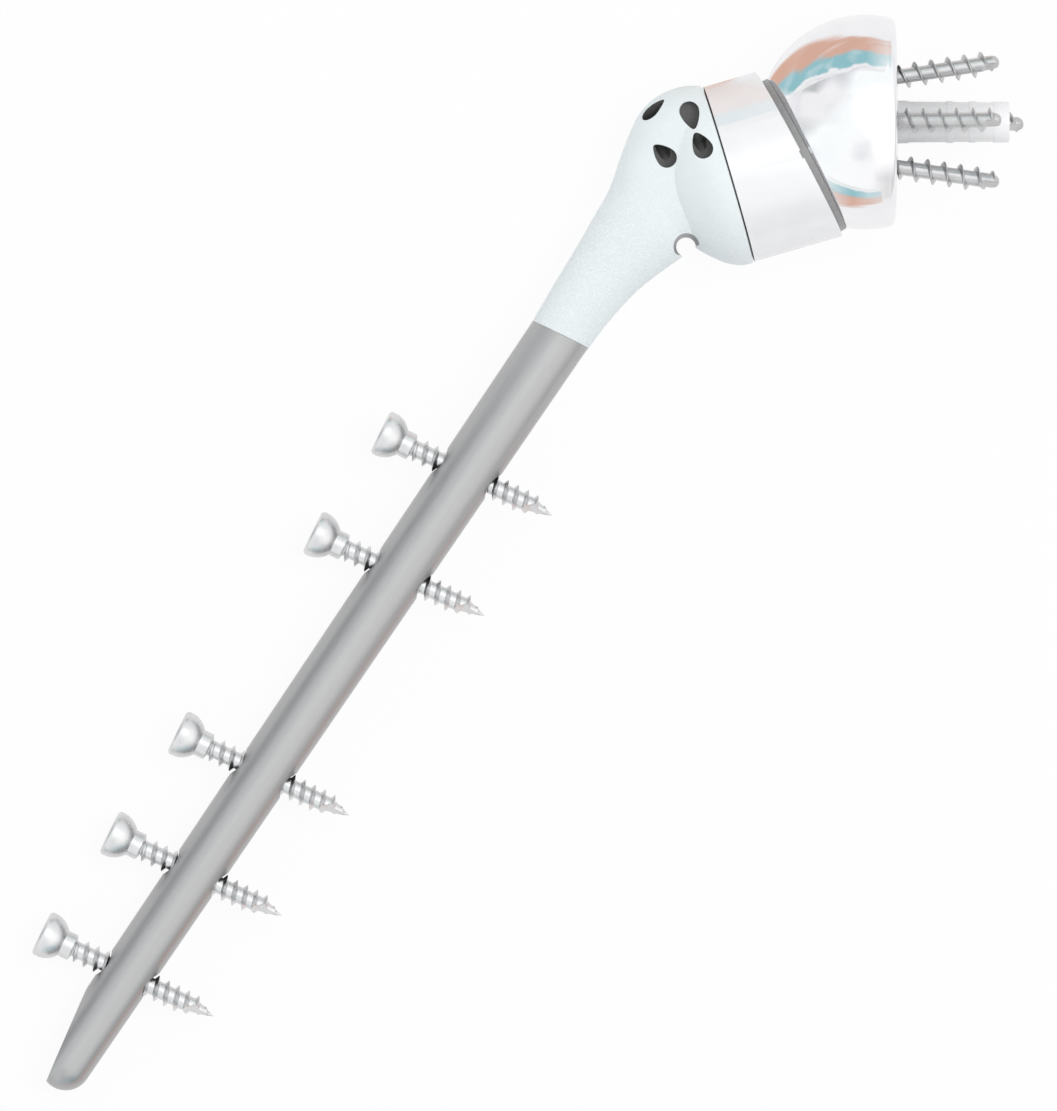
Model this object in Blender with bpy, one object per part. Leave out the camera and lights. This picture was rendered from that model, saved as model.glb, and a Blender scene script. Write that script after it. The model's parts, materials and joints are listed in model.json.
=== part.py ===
"""Long-stem reversed shoulder prosthesis with its glenoid side, lying on a table.

All sizes are in metres. The stem's own frame has its origin at the rounded tip:
+X medial, +Y posterior, +Z up the stem towards the shoulder. An empty lays that
frame on the table, so that +X of the world runs up the stem and +Z is up.
"""
import math

import bmesh
import bpy
from mathutils import Matrix, Vector

MM = 0.001

# Fits
SEAT_GAP = 0.3 * MM
ARTICULATION_GAP = 0.25 * MM
COLLAR_GAP = 0.3 * MM

# Stem shaft
TIP_RADIUS = 4.5 * MM
SHAFT_TOP_RADIUS = 5.4 * MM
SHAFT_LENGTH = 160.0 * MM
TIP_FLAT_LENGTH = 17.9 * MM
TIP_FLAT_END_OFFSET = 1.2 * MM

# Height of the collar's centre over the shaft's top
BODY_HEIGHT = 41.3 * MM

# Proximal body: lateral edge and its drop from the collar's centre, medial edge and its
# drop, half thickness, squareness
BODY_STATIONS_MM = (
    (-5.9, -34.3, 5.85, -33.8, 5.8, 2.0),
    (-6.3, -26.3, 6.9, -26.8, 6.5, 2.1),
    (-6.8, -19.8, 8.7, -21.1, 7.4, 2.2),
    (-7.3, -14.3, 10.2, -17.1, 8.3, 2.3),
    (-8.7, -9.1, 11.0, -14.4, 9.0, 2.35),
    (-9.8, -4.3, 14.6, -12.5, 9.9, 2.35),
    (-10.3, 0.1, 17.6, -10.9, 11.0, 2.3),
    (-9.3, 4.1, 18.9, -10.4, 12.2, 2.2),
    (-7.0, 7.5, 19.5, -10.2, 13.4, 2.1),
    (-3.7, 10.35, 19.8, -10.1, 14.4, 2.05),
)
BODY_RING_STEP = 2

# Collar and the tray that sits on it
COLLAR_CENTRE_OFFSET = 9.2 * MM
COLLAR_CENTRE_HEIGHT = SHAFT_LENGTH + BODY_HEIGHT
COLLAR_ANGLE = math.radians(41.3)
COLLAR_RADIUS = 16.2 * MM
COLLAR_LAND = 0.8 * MM
COLLAR_RIM_WIDTH = 0.8 * MM
COLLAR_RECESS = 0.5 * MM
COLLAR_CONE_DEPTH = 12.0 * MM
COLLAR_CONE_END_RADIUS = 5.5 * MM
COLLAR_BULGE = (0.3 * MM, 1.7 * MM, 4.8 * MM)
SOCKET_RADIUS = 5.3 * MM
SOCKET_TAPER = 0.4 * MM
SOCKET_DEPTH = 11.5 * MM

# Suture holes in the collar's frame: mouth, way of the drop's point, length to the point
SUTURE_RADIUS = 1.65 * MM
SUTURE_DEPTH = 4.6 * MM
SUTURE_LINK_RADIUS = 1.2 * MM
SUTURE_APPROACH = 5.0 * MM
SUTURE_HOLES_MM = (
    ((-11.7, -10.1, -4.7), (1.0, 0.0, 0.0), 3.5),
    ((-5.7, -14.0, -4.1), (-0.98, 0.0, -0.2), 3.3),
    ((-14.1, -5.6, -11.3), (-0.51, 0.0, 0.86), 3.0),
    ((-5.6, -9.8, -10.6), (-0.86, 0.0, -0.51), 3.2),
)
SIDE_HOLE_LEAN = math.radians(45.0)

# Hook hole and dimple on the body's edges, by their drop from the collar's centre
MEDIAL_HOLE_RADIUS = 1.65 * MM
MEDIAL_HOLE_OFFSET = 9.75 * MM
MEDIAL_HOLE_DROP = 15.4 * MM
DIMPLE_RADIUS = 0.7 * MM
DIMPLE_DEPTH = 1.2 * MM
DIMPLE_OFFSET = 7.1 * MM
DIMPLE_DROP = 17.0 * MM

# Ball centre from the collar's centre, and the angles from the stem's axis
BALL_SIDE_STEP = 14.5 * MM
BALL_RISE = 20.8 * MM
LINER_ANGLE = math.radians(27.9)
BALL_AXIS_ANGLE = math.radians(55.9)

# Ball
BALL_RADIUS = 19.0 * MM
BALL_BACK_DEPTH = 5.1 * MM
BALL_EDGE_ROUND = 1.3 * MM
BALL_WALL = 3.8 * MM
BALL_BOSS_RADIUS = 4.6 * MM
BALL_SEAT_WIDTH = 1.2 * MM

# Tray and liner
TRAY_RADIUS = 16.1 * MM
TRAY_EDGE_CHAMFER = 0.25 * MM
RIM_DISTANCE = 12.5 * MM
LINER_OUTER_RADIUS = 15.2 * MM
LINER_THICKNESS = 3.0 * MM
LINER_CHAMFER = 0.15 * MM
RIM_NOTCH_WIDTH = 1.2 * MM
RIM_NOTCH_DEPTH = 0.7 * MM
RIM_NOTCH_REACH = 2.0 * MM
TRAY_BOLT_RADIUS = 2.0 * MM
TRAY_BOLT_HEAD_RADIUS = 3.2 * MM
TRAY_BOLT_HEAD_HEIGHT = 1.7 * MM
TRAY_BOLT_REACH = 7.0 * MM
BOLT_CHAMFER = 0.3 * MM

# Cross screws through the shaft
CROSS_SCREW_HEIGHTS = (23.9 * MM, 45.4 * MM, 66.8 * MM, 109.5 * MM, 130.9 * MM)
CROSS_SCREW_ANGLE = math.radians(81.9)
CROSS_SCREW_LENGTH = 33.9 * MM
CROSS_SCREW_HEAD_REACH = 16.9 * MM
CROSS_HEAD_RADIUS = 4.15 * MM
CROSS_HEAD_LENGTH = 4.3 * MM
CROSS_FACE_BEVEL = 0.4 * MM
CROSS_RIM_LEVEL = 0.9 * MM
CROSS_NECK_RADIUS = 2.4 * MM
CROSS_NECK_LENGTH = 2.2 * MM
CROSS_THREAD_RADIUS = 2.3 * MM
CROSS_CORE_RADIUS = 1.45 * MM
CROSS_PITCH = 1.98 * MM
CROSS_THREAD_SHIFT = 0.4
CROSS_THREAD_END = 0.8 * MM
CROSS_TIP_LENGTH = 4.0 * MM
CROSS_HOLE_RADIUS = CROSS_THREAD_RADIUS + SEAT_GAP

# Baseplate and its cage
PLATE_RADIUS = 13.5 * MM
PLATE_THICKNESS = 4.5 * MM
PLATE_RECESS = 0.1 * MM
PLATE_EDGE_BEVEL = 0.5 * MM
CAGE_LENGTH = 20.3 * MM
CAGE_ROOT_RADIUS = 3.8 * MM
CAGE_END_RADIUS = 3.6 * MM
CAGE_BORE_RADIUS = 2.3 * MM
CAGE_BAND_PROUD = 0.15 * MM
CAGE_END_CAP = 2.8 * MM
CAGE_BANDS = (9.2 * MM, 13.2 * MM)
CAGE_BAND_WIDTH = 1.2 * MM
CAGE_ROOT_BAND = 2.5 * MM

# Screws that hold the baseplate
PLATE_SCREW_RADIUS_AT_BACK = 7.9 * MM
PLATE_SCREW_SPLAY = math.radians(8.5)
PLATE_SCREW_REACH = 18.8 * MM
POSTERIOR_SCREW_REACH = 23.6 * MM
PLATE_SCREW_HEAD_RADIUS = 3.1 * MM
PLATE_THREAD_RADIUS = 2.25 * MM
PLATE_CORE_RADIUS = 1.3 * MM
PLATE_PITCH = 2.95 * MM
PLATE_TIP_RADIUS = 0.9 * MM
PLATE_THREAD_END = 0.25 * MM
PLATE_HEAD_TOP = 3.4 * MM
PLATE_HEAD_RIM = 2.75 * MM
PLATE_HEAD_END = 1.0 * MM
PLATE_NECK_END = 0.6 * MM
CAP_RADIUS = 3.6 * MM
CAP_HEIGHT = 1.3 * MM
BALL_BOLT_RADIUS = 2.0 * MM
BALL_BOLT_HEAD_RADIUS = 3.4 * MM
BALL_BOLT_HEAD_HEIGHT = 2.2 * MM
BALL_BOLT_HEAD_INSET = 1.6 * MM
BALL_BOLT_GRIP = 3.4 * MM

# Driver sockets
HEX_SOCKET_RADIUS = 1.5 * MM
HEX_SOCKET_DEPTH = 1.3 * MM

# Facets
ROUND_STEPS = 32
PLATE_STEPS = 24
STEM_STEPS = 24
SCREW_STEPS = 8
ARC_STEPS = 6

# Thread rows: share of the pitch, share of the thread's height
SHARP_THREAD = ((0.58, 0.0), (0.81, 1.0), (1.04, 0.0))
BLUNT_THREAD = ((0.7, 0.0), (0.77, 1.0), (0.85, 1.0), (0.92, 0.0))

AXIS_Z = Vector((0.0, 0.0, 1.0))


def clear_scene():
    for item in list(bpy.data.objects):
        bpy.data.objects.remove(item, do_unlink=True)


def finish(name, colour, roughness, metallic):
    """A Principled material in the piece's own colour."""
    material = bpy.data.materials.new(name)
    material.use_nodes = True
    shader = material.node_tree.nodes["Principled BSDF"]
    shader.inputs["Base Color"].default_value = (*colour, 1.0)
    shader.inputs["Roughness"].default_value = roughness
    shader.inputs["Metallic"].default_value = metallic
    material.diffuse_color = (*colour, 1.0)
    return material


TITANIUM = ((0.55, 0.56, 0.56), 0.38, 1.0)
POLISHED = ((0.86, 0.86, 0.87), 0.06, 1.0)
POLYETHYLENE = ((0.62, 0.62, 0.61), 0.45, 0.0)
BRIGHT_TITANIUM = ((0.72, 0.73, 0.73), 0.25, 1.0)


def make_object(name, mesh_builder, parent, look):
    """Turns a bmesh into a named, smooth-shaded object under its parent empty."""
    bmesh.ops.recalc_face_normals(mesh_builder, faces=mesh_builder.faces)
    mesh = bpy.data.meshes.new(name)
    mesh_builder.to_mesh(mesh)
    mesh_builder.free()
    mesh.shade_smooth()
    mesh.set_sharp_from_angle(angle=math.radians(35.0))
    item = bpy.data.objects.new(name, mesh)
    bpy.context.scene.collection.objects.link(item)
    item.parent = parent
    if look:
        item.data.materials.append(finish(name + "_finish", *look))
    return item


def make_cutter(name, mesh_builder, parent):
    item = make_object(name, mesh_builder, parent, None)
    item.hide_render = True
    item.display_type = "WIRE"
    return item


def combine(target, tool, operation, solver="EXACT"):
    """Adds a Boolean of the tool's shape to the target."""
    modifier = target.modifiers.new(operation.title() + "_" + tool.name, "BOOLEAN")
    modifier.operation = operation
    modifier.solver = solver
    modifier.object = tool


def empty(name, parent=None, matrix=None):
    item = bpy.data.objects.new(name, None)
    item.empty_display_size = 0.01
    bpy.context.scene.collection.objects.link(item)
    item.parent = parent
    if matrix is not None:
        item.matrix_basis = matrix
    return item


def direction(angle):
    """A unit vector in the picture's plane, at an angle from the stem's axis towards medial."""
    return Vector((math.sin(angle), 0.0, math.cos(angle)))


def frame_at(origin, angle):
    """A frame whose +Z points at the angle from the stem's axis, in the same plane."""
    return Matrix.Translation(origin) @ Matrix.Rotation(angle, 4, "Y")


def arc(centre, radius, start, end, steps):
    """Points (r, z) on a circle; angles are measured from +r towards +z."""
    turn = (end - start) / steps
    return [
        (
            centre[0] + radius * math.cos(start + turn * i),
            centre[1] + radius * math.sin(start + turn * i),
        )
        for i in range(steps + 1)
    ]


def turned(profile, steps, closed=False):
    """Spins a profile of (r, z) points once round Z and welds the seam and the poles."""
    shape = bmesh.new()
    corners = [shape.verts.new((r, 0.0, z)) for r, z in profile]
    edges = [shape.edges.new(pair) for pair in zip(corners, corners[1:])]
    if closed:
        edges.append(shape.edges.new((corners[-1], corners[0])))
    bmesh.ops.spin(
        shape,
        geom=corners + edges,
        cent=(0.0, 0.0, 0.0),
        axis=(0.0, 0.0, 1.0),
        angle=2.0 * math.pi,
        steps=steps,
    )
    bmesh.ops.remove_doubles(shape, verts=shape.verts, dist=1e-6)
    return shape


def ring_points(radius, height, steps, flats=0):
    """One ring round Z; with flats it follows a regular polygon of that inner radius."""
    points = []
    for i in range(steps):
        angle = 2.0 * math.pi * i / steps
        reach = radius
        if flats:
            half = math.pi / flats
            reach = radius / math.cos((angle + half) % (2.0 * half) - half)
        points.append((reach * math.cos(angle), reach * math.sin(angle), height))
    return points


def skin(shape, rings):
    """Joins rings of equally many points with quads and returns their vertices."""
    loops = [[shape.verts.new(point) for point in ring] for ring in rings]
    for lower, upper in zip(loops, loops[1:]):
        count = len(lower)
        for i in range(count):
            j = (i + 1) % count
            shape.faces.new((lower[i], lower[j], upper[j], upper[i]))
    return loops


def loft(rings):
    """A closed solid through rings, with flat ends."""
    shape = bmesh.new()
    loops = skin(shape, rings)
    shape.faces.new(list(reversed(loops[0])))
    shape.faces.new(loops[-1])
    return shape


def moved(shape, matrix):
    bmesh.ops.transform(shape, matrix=matrix, verts=shape.verts)
    return shape


def joined(shapes):
    """Puts separate shapes into one bmesh."""
    whole = bmesh.new()
    for shape in shapes:
        piece = bpy.data.meshes.new("piece")
        shape.to_mesh(piece)
        shape.free()
        whole.from_mesh(piece)
        bpy.data.meshes.remove(piece)
    return whole


def rod(radius, start, end, steps, end_radius=None):
    """A cylinder or cone frustum along Z, from start to end."""
    top = radius if end_radius is None else end_radius
    return loft([ring_points(radius, start, steps), ring_points(top, end, steps)])


def shaft_radius(height):
    share = (height - TIP_RADIUS) / (SHAFT_LENGTH - TIP_RADIUS)
    return TIP_RADIUS + (SHAFT_TOP_RADIUS - TIP_RADIUS) * share


def smooth_between(stations, step):
    """Catmull-Rom values between stations, step values for each span."""
    values = []
    last = len(stations) - 1
    for i in range(last):
        before = stations[max(i - 1, 0)]
        after = stations[min(i + 2, last)]
        for j in range(step):
            t = j / step
            row = []
            for a, b, c, d in zip(before, stations[i], stations[i + 1], after):
                bend = (2 * a - 5 * b + 4 * c - d) * t * t + (3 * b - a - 3 * c + d) * t ** 3
                row.append(0.5 * (2 * b + (c - a) * t + bend))
            values.append(row)
    values.append(list(stations[last]))
    return values


def body_ring(lateral, lateral_height, medial, medial_height, thickness, squareness):
    """A rounded section across the body, from its lateral to its medial edge."""
    outer = Vector((lateral, 0.0, lateral_height))
    inner = Vector((medial, 0.0, medial_height))
    middle = (outer + inner) / 2.0
    half = (inner - outer) / 2.0
    points = []
    for i in range(STEM_STEPS):
        angle = 2.0 * math.pi * i / STEM_STEPS
        across = math.cos(angle)
        deep = math.sin(angle)
        power = 2.0 / squareness
        along = math.copysign(abs(across) ** power, across)
        depth = math.copysign(abs(deep) ** power, deep)
        points.append(middle + half * along + Vector((0.0, thickness * depth, 0.0)))
    return points


def collar_frame():
    centre = Vector((COLLAR_CENTRE_OFFSET, 0.0, COLLAR_CENTRE_HEIGHT))
    return frame_at(centre, COLLAR_ANGLE)


def ball_centre():
    return collar_frame().translation + Vector((BALL_SIDE_STEP, 0.0, BALL_RISE))


def teardrop(mouth, inward, pointing, reach):
    """A drop-shaped drill from outside the mouth to its floor, its point one way."""
    point_way = (pointing - inward * pointing.dot(inward)).normalized()
    side_way = inward.cross(point_way)
    tip_half = math.acos(SUTURE_RADIUS / reach)
    outline = []
    round_steps = 8
    for i in range(round_steps + 1):
        angle = tip_half + (2.0 * math.pi - 2.0 * tip_half) * i / round_steps
        outline.append((SUTURE_RADIUS * math.cos(angle), SUTURE_RADIUS * math.sin(angle)))
    outline.append((reach, 0.0))
    rings = []
    for base in (mouth - inward * SUTURE_APPROACH, mouth + inward * SUTURE_DEPTH):
        rings.append([base + point_way * u + side_way * v for u, v in outline])
    return loft(rings)


def rod_between(radius, start, end, steps):
    way = end - start
    place = Matrix.Translation(start) @ way.to_track_quat("Z", "Y").to_matrix().to_4x4()
    return moved(rod(radius, 0.0, way.length, steps), place)


def suture_cutters(parent):
    """Drop-shaped holes in the front and the back, and the links that join them in pairs.

    The side hole leans with the surface there. The two holes of a pair meet under the
    bridge between their mouths, so a suture passes from one to the other.
    """
    lean = Vector((math.sin(SIDE_HOLE_LEAN), math.cos(SIDE_HOLE_LEAN), 0.0))
    straight = Vector((0.0, 1.0, 0.0))
    ways = (straight, straight, lean, straight)
    drops = []
    links = []
    for side in (1.0, -1.0):
        flip = Vector((1.0, side, 1.0))
        floors = []
        for (mouth, pointing, reach), way in zip(SUTURE_HOLES_MM, ways):
            place = Vector(mouth) * MM * flip
            drops.append(teardrop(place, way * flip, Vector(pointing), reach * MM))
            floors.append(place + way * flip * (SUTURE_DEPTH - SUTURE_LINK_RADIUS))
        links.append(rod_between(SUTURE_LINK_RADIUS, floors[0], floors[1], 8))
        links.append(rod_between(SUTURE_LINK_RADIUS, floors[2], floors[3], 8))
    return (
        make_cutter("suture_holes", joined(drops), parent),
        make_cutter("suture_links", joined(links), parent),
    )


def cross_screw_frame(height):
    """At the screw's outer face, with +Z along the screw to its point."""
    way = direction(CROSS_SCREW_ANGLE)
    origin = Vector((0.0, 0.0, height)) - way * CROSS_SCREW_HEAD_REACH
    return frame_at(origin, CROSS_SCREW_ANGLE)


def build_stem(root):
    """One solid: tapered shaft, lofted body, cone-backed collar, holes and socket."""
    rings = []
    for i in range(1, 5):
        angle = -math.pi / 2.0 + math.pi / 2.0 * i / 4
        radius = TIP_RADIUS * math.cos(angle)
        height = TIP_RADIUS + TIP_RADIUS * math.sin(angle)
        rings.append(body_ring(-radius, height, radius, height, radius, 2.0))
    for height in (SHAFT_LENGTH * 0.5, SHAFT_LENGTH):
        radius = shaft_radius(height)
        rings.append(body_ring(-radius, height, radius, height, radius, 2.0))
    top = SHAFT_TOP_RADIUS
    stations = [(-top, SHAFT_LENGTH, top, SHAFT_LENGTH, top, 2.0)]
    level = COLLAR_CENTRE_HEIGHT
    for outer, outer_drop, inner, inner_drop, thickness, squareness in BODY_STATIONS_MM:
        stations.append((outer * MM, level + outer_drop * MM, inner * MM, level + inner_drop * MM,
                         thickness * MM, squareness))
    for row in smooth_between(stations, BODY_RING_STEP)[1:]:
        rings.append(body_ring(*row))
    body = loft(rings)
    stem = make_object("humeral_stem", body, root, TITANIUM)

    collar_empty = empty("collar_axis", root, collar_frame())
    recess_radius = COLLAR_RADIUS - COLLAR_RIM_WIDTH
    profile = [
        (0.0, -COLLAR_RECESS),
        (recess_radius, -COLLAR_RECESS),
        (recess_radius, 0.0),
        (COLLAR_RADIUS, 0.0),
        (COLLAR_RADIUS, -COLLAR_LAND),
        (COLLAR_RADIUS - COLLAR_BULGE[0], -COLLAR_CONE_DEPTH * 0.22),
        (COLLAR_RADIUS - COLLAR_BULGE[1], -COLLAR_CONE_DEPTH * 0.43),
        (COLLAR_RADIUS - COLLAR_BULGE[2], -COLLAR_CONE_DEPTH * 0.71),
        ((COLLAR_RADIUS + COLLAR_CONE_END_RADIUS) * 0.37, -COLLAR_CONE_DEPTH * 0.9),
        (COLLAR_CONE_END_RADIUS, -COLLAR_CONE_DEPTH),
        (0.0, -COLLAR_CONE_DEPTH),
    ]
    cone = make_cutter("collar_cone", turned(profile, ROUND_STEPS), collar_empty)
    combine(stem, cone, "UNION")

    bolt_depth = SOCKET_DEPTH + TRAY_BOLT_REACH + SEAT_GAP
    bolt_hole = TRAY_BOLT_RADIUS + SEAT_GAP
    socket = turned(
        [
            (0.0, COLLAR_RECESS),
            (SOCKET_RADIUS, COLLAR_RECESS),
            (SOCKET_RADIUS, 0.0),
            (SOCKET_RADIUS - SOCKET_TAPER, -SOCKET_DEPTH),
            (bolt_hole, -SOCKET_DEPTH),
            (bolt_hole, -bolt_depth),
            (0.0, -bolt_depth),
        ],
        24,
    )
    combine(stem, make_cutter("taper_socket", socket, collar_empty), "DIFFERENCE")

    for cutter in suture_cutters(collar_empty):
        combine(stem, cutter, "DIFFERENCE", "MANIFOLD")

    medial = rod(MEDIAL_HOLE_RADIUS, -COLLAR_RADIUS, COLLAR_RADIUS, 16)
    moved(medial, Matrix.Rotation(math.pi / 2.0, 4, "X"))
    moved(medial, Matrix.Translation((MEDIAL_HOLE_OFFSET, 0.0, level - MEDIAL_HOLE_DROP)))
    combine(stem, make_cutter("medial_suture_hole", medial, root), "DIFFERENCE", "MANIFOLD")

    dimple = rod(DIMPLE_RADIUS, -DIMPLE_DEPTH, DIMPLE_DEPTH, 10)
    moved(dimple, Matrix.Rotation(math.pi / 2.0, 4, "Y"))
    moved(dimple, Matrix.Translation((-DIMPLE_OFFSET, 0.0, level - DIMPLE_DROP)))
    combine(stem, make_cutter("lateral_dimple", dimple, root), "DIFFERENCE", "MANIFOLD")

    flat_top = -shaft_radius(TIP_FLAT_LENGTH)
    slope = math.atan2(-TIP_FLAT_END_OFFSET - flat_top, TIP_FLAT_LENGTH)
    flat = bmesh.new()
    bmesh.ops.create_cube(flat, size=1.0)
    width = 4.0 * SHAFT_TOP_RADIUS
    length = 2.0 * TIP_FLAT_LENGTH
    moved(flat, Matrix.Diagonal((width, width, length, 1.0)))
    moved(flat, Matrix.Translation((-width / 2.0, 0.0, -length / 2.0 + SEAT_GAP)))
    moved(flat, Matrix.Rotation(-slope, 4, "Y"))
    moved(flat, Matrix.Translation((flat_top, 0.0, TIP_FLAT_LENGTH)))
    combine(stem, make_cutter("tip_flat", flat, root), "DIFFERENCE", "MANIFOLD")

    holes = []
    for height in CROSS_SCREW_HEIGHTS:
        place = cross_screw_frame(height)
        holes.append(moved(rod(CROSS_HOLE_RADIUS, 0.0, CROSS_SCREW_LENGTH, 12), place))
    combine(stem, make_cutter("cross_holes", joined(holes), root), "DIFFERENCE", "MANIFOLD")
    return stem


def ring_on_plane(radius, axis_frame, plane_point, plane_normal, steps):
    """Where a round bar of that radius, along the frame's Z, crosses a plane."""
    along = axis_frame.to_3x3() @ AXIS_Z
    points = []
    for x, y, _ in ring_points(radius, 0.0, steps):
        start = axis_frame @ Vector((x, y, 0.0))
        distance = (plane_point - start).dot(plane_normal) / along.dot(plane_normal)
        points.append(start + along * distance)
    return points


def build_tray(root):
    """A round bar cut by two planes, with the liner's seat, a taper post and a bolt bore."""
    collar = collar_frame()
    base_normal = collar.to_3x3() @ AXIS_Z
    base_point = collar.translation + base_normal * COLLAR_GAP
    rim_normal = direction(LINER_ANGLE)
    rim_point = ball_centre() - rim_normal * RIM_DISTANCE
    # The bar passes through the middle of both faces, so its axis joins their centres.
    way = (rim_point - base_point).normalized()
    bar = frame_at(base_point, math.atan2(way.x, way.z))

    chamfer = TRAY_EDGE_CHAMFER
    inner = TRAY_RADIUS - chamfer
    pad = COLLAR_RADIUS - COLLAR_RIM_WIDTH - SEAT_GAP
    pad_foot = base_point - base_normal * COLLAR_RECESS
    rings = [
        ring_on_plane(pad, collar, pad_foot, base_normal, ROUND_STEPS),
        ring_on_plane(pad, collar, base_point, base_normal, ROUND_STEPS),
        ring_on_plane(TRAY_RADIUS, bar, base_point, base_normal, ROUND_STEPS),
        ring_on_plane(TRAY_RADIUS, bar, rim_point - rim_normal * chamfer, rim_normal, ROUND_STEPS),
        ring_on_plane(inner, bar, rim_point, rim_normal, ROUND_STEPS),
    ]
    tray = make_object("humeral_tray", loft(rings), root, POLISHED)

    collar_empty = empty("tray_axis", root, collar)
    post_length = SOCKET_DEPTH - SEAT_GAP
    post_root = COLLAR_GAP + COLLAR_RECESS
    post = turned(
        [
            (0.0, post_root),
            (SOCKET_RADIUS - SEAT_GAP, post_root),
            (SOCKET_RADIUS - SEAT_GAP, 0.0),
            (SOCKET_RADIUS - SEAT_GAP - SOCKET_TAPER, -post_length + BOLT_CHAMFER),
            (SOCKET_RADIUS - SEAT_GAP - SOCKET_TAPER - BOLT_CHAMFER, -post_length),
            (0.0, -post_length),
        ],
        24,
    )
    combine(tray, make_cutter("tray_post", post, collar_empty), "UNION")

    liner_empty = empty("liner_axis", root, frame_at(ball_centre(), LINER_ANGLE))
    seat_radius = BALL_RADIUS + ARTICULATION_GAP + LINER_THICKNESS + SEAT_GAP
    seat_wall = LINER_OUTER_RADIUS + SEAT_GAP
    corner = -math.acos(seat_wall / seat_radius)
    seat_top = -RIM_DISTANCE + LINER_THICKNESS
    seat = [(0.0, seat_top), (seat_wall, seat_top)]
    seat += arc((0.0, 0.0), seat_radius, corner, -math.pi / 2.0, 8)
    combine(tray, make_cutter("liner_seat", turned(seat, ROUND_STEPS), liner_empty), "DIFFERENCE")

    notch = bmesh.new()
    bmesh.ops.create_cube(notch, size=1.0)
    moved(notch, Matrix.Diagonal((RIM_NOTCH_WIDTH, 2.0 * RIM_NOTCH_REACH, 2.0 * RIM_NOTCH_DEPTH, 1.0)))
    moved(notch, Matrix.Translation((0.0, -TRAY_RADIUS, -RIM_DISTANCE)))
    combine(tray, make_cutter("rim_notch", notch, liner_empty), "DIFFERENCE")

    head_seat = tray_bolt_head_level() - SEAT_GAP
    head_hole = TRAY_BOLT_HEAD_RADIUS + SEAT_GAP
    shank_hole = TRAY_BOLT_RADIUS + SEAT_GAP
    above = RIM_DISTANCE
    below = -SOCKET_DEPTH - TRAY_BOLT_REACH
    bore = turned(
        [
            (0.0, above),
            (head_hole, above),
            (head_hole, head_seat),
            (shank_hole, head_seat),
            (shank_hole, below),
            (0.0, below),
        ],
        20,
    )
    combine(tray, make_cutter("tray_bolt_bore", bore, collar_empty), "DIFFERENCE")
    return collar_empty, liner_empty


def tray_bolt_head_level():
    """Height of the bolt head's underside over the collar, clear of the liner's dome."""
    dome = BALL_RADIUS + ARTICULATION_GAP + LINER_THICKNESS
    to_collar = collar_frame().inverted() @ ball_centre()
    edge = abs(to_collar.x) + TRAY_BOLT_HEAD_RADIUS
    lowest = to_collar.z - dome
    highest = to_collar.z - math.sqrt(dome ** 2 - edge ** 2)
    return min(lowest, highest) - TRAY_BOLT_HEAD_HEIGHT - SEAT_GAP


def build_tray_bolt(collar_empty):
    level = tray_bolt_head_level()
    top = level + TRAY_BOLT_HEAD_HEIGHT
    end = -SOCKET_DEPTH - TRAY_BOLT_REACH + SEAT_GAP
    rings = [
        ring_points(HEX_SOCKET_RADIUS, top - HEX_SOCKET_DEPTH, 12, 6),
        ring_points(HEX_SOCKET_RADIUS, top, 12, 6),
        ring_points(TRAY_BOLT_HEAD_RADIUS - BOLT_CHAMFER, top, 12),
        ring_points(TRAY_BOLT_HEAD_RADIUS, top - BOLT_CHAMFER, 12),
        ring_points(TRAY_BOLT_HEAD_RADIUS, level, 12),
        ring_points(TRAY_BOLT_RADIUS, level, 12),
        ring_points(TRAY_BOLT_RADIUS, end + BOLT_CHAMFER, 12),
        ring_points(TRAY_BOLT_RADIUS - BOLT_CHAMFER, end, 12),
    ]
    make_object("tray_bolt", loft(rings), collar_empty, TITANIUM)


def build_liner(liner_empty):
    """A thin cup: its inside is the ball's sphere with a running gap."""
    inner = BALL_RADIUS + ARTICULATION_GAP
    outer = inner + LINER_THICKNESS
    rim = -RIM_DISTANCE
    inner_start = -math.asin(RIM_DISTANCE / inner)
    profile = arc((0.0, 0.0), inner, -math.pi / 2.0, inner_start, ARC_STEPS)
    profile.append((LINER_OUTER_RADIUS - LINER_CHAMFER, rim))
    profile.append((LINER_OUTER_RADIUS, rim - LINER_CHAMFER))
    corner = -math.acos(LINER_OUTER_RADIUS / outer)
    profile += arc((0.0, 0.0), outer, corner, -math.pi / 2.0, 6)
    liner = turned(profile, ROUND_STEPS)
    make_object("humeral_liner", liner, liner_empty, POLYETHYLENE)


def plate_front():
    return BALL_BACK_DEPTH - PLATE_RECESS - PLATE_THICKNESS


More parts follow.
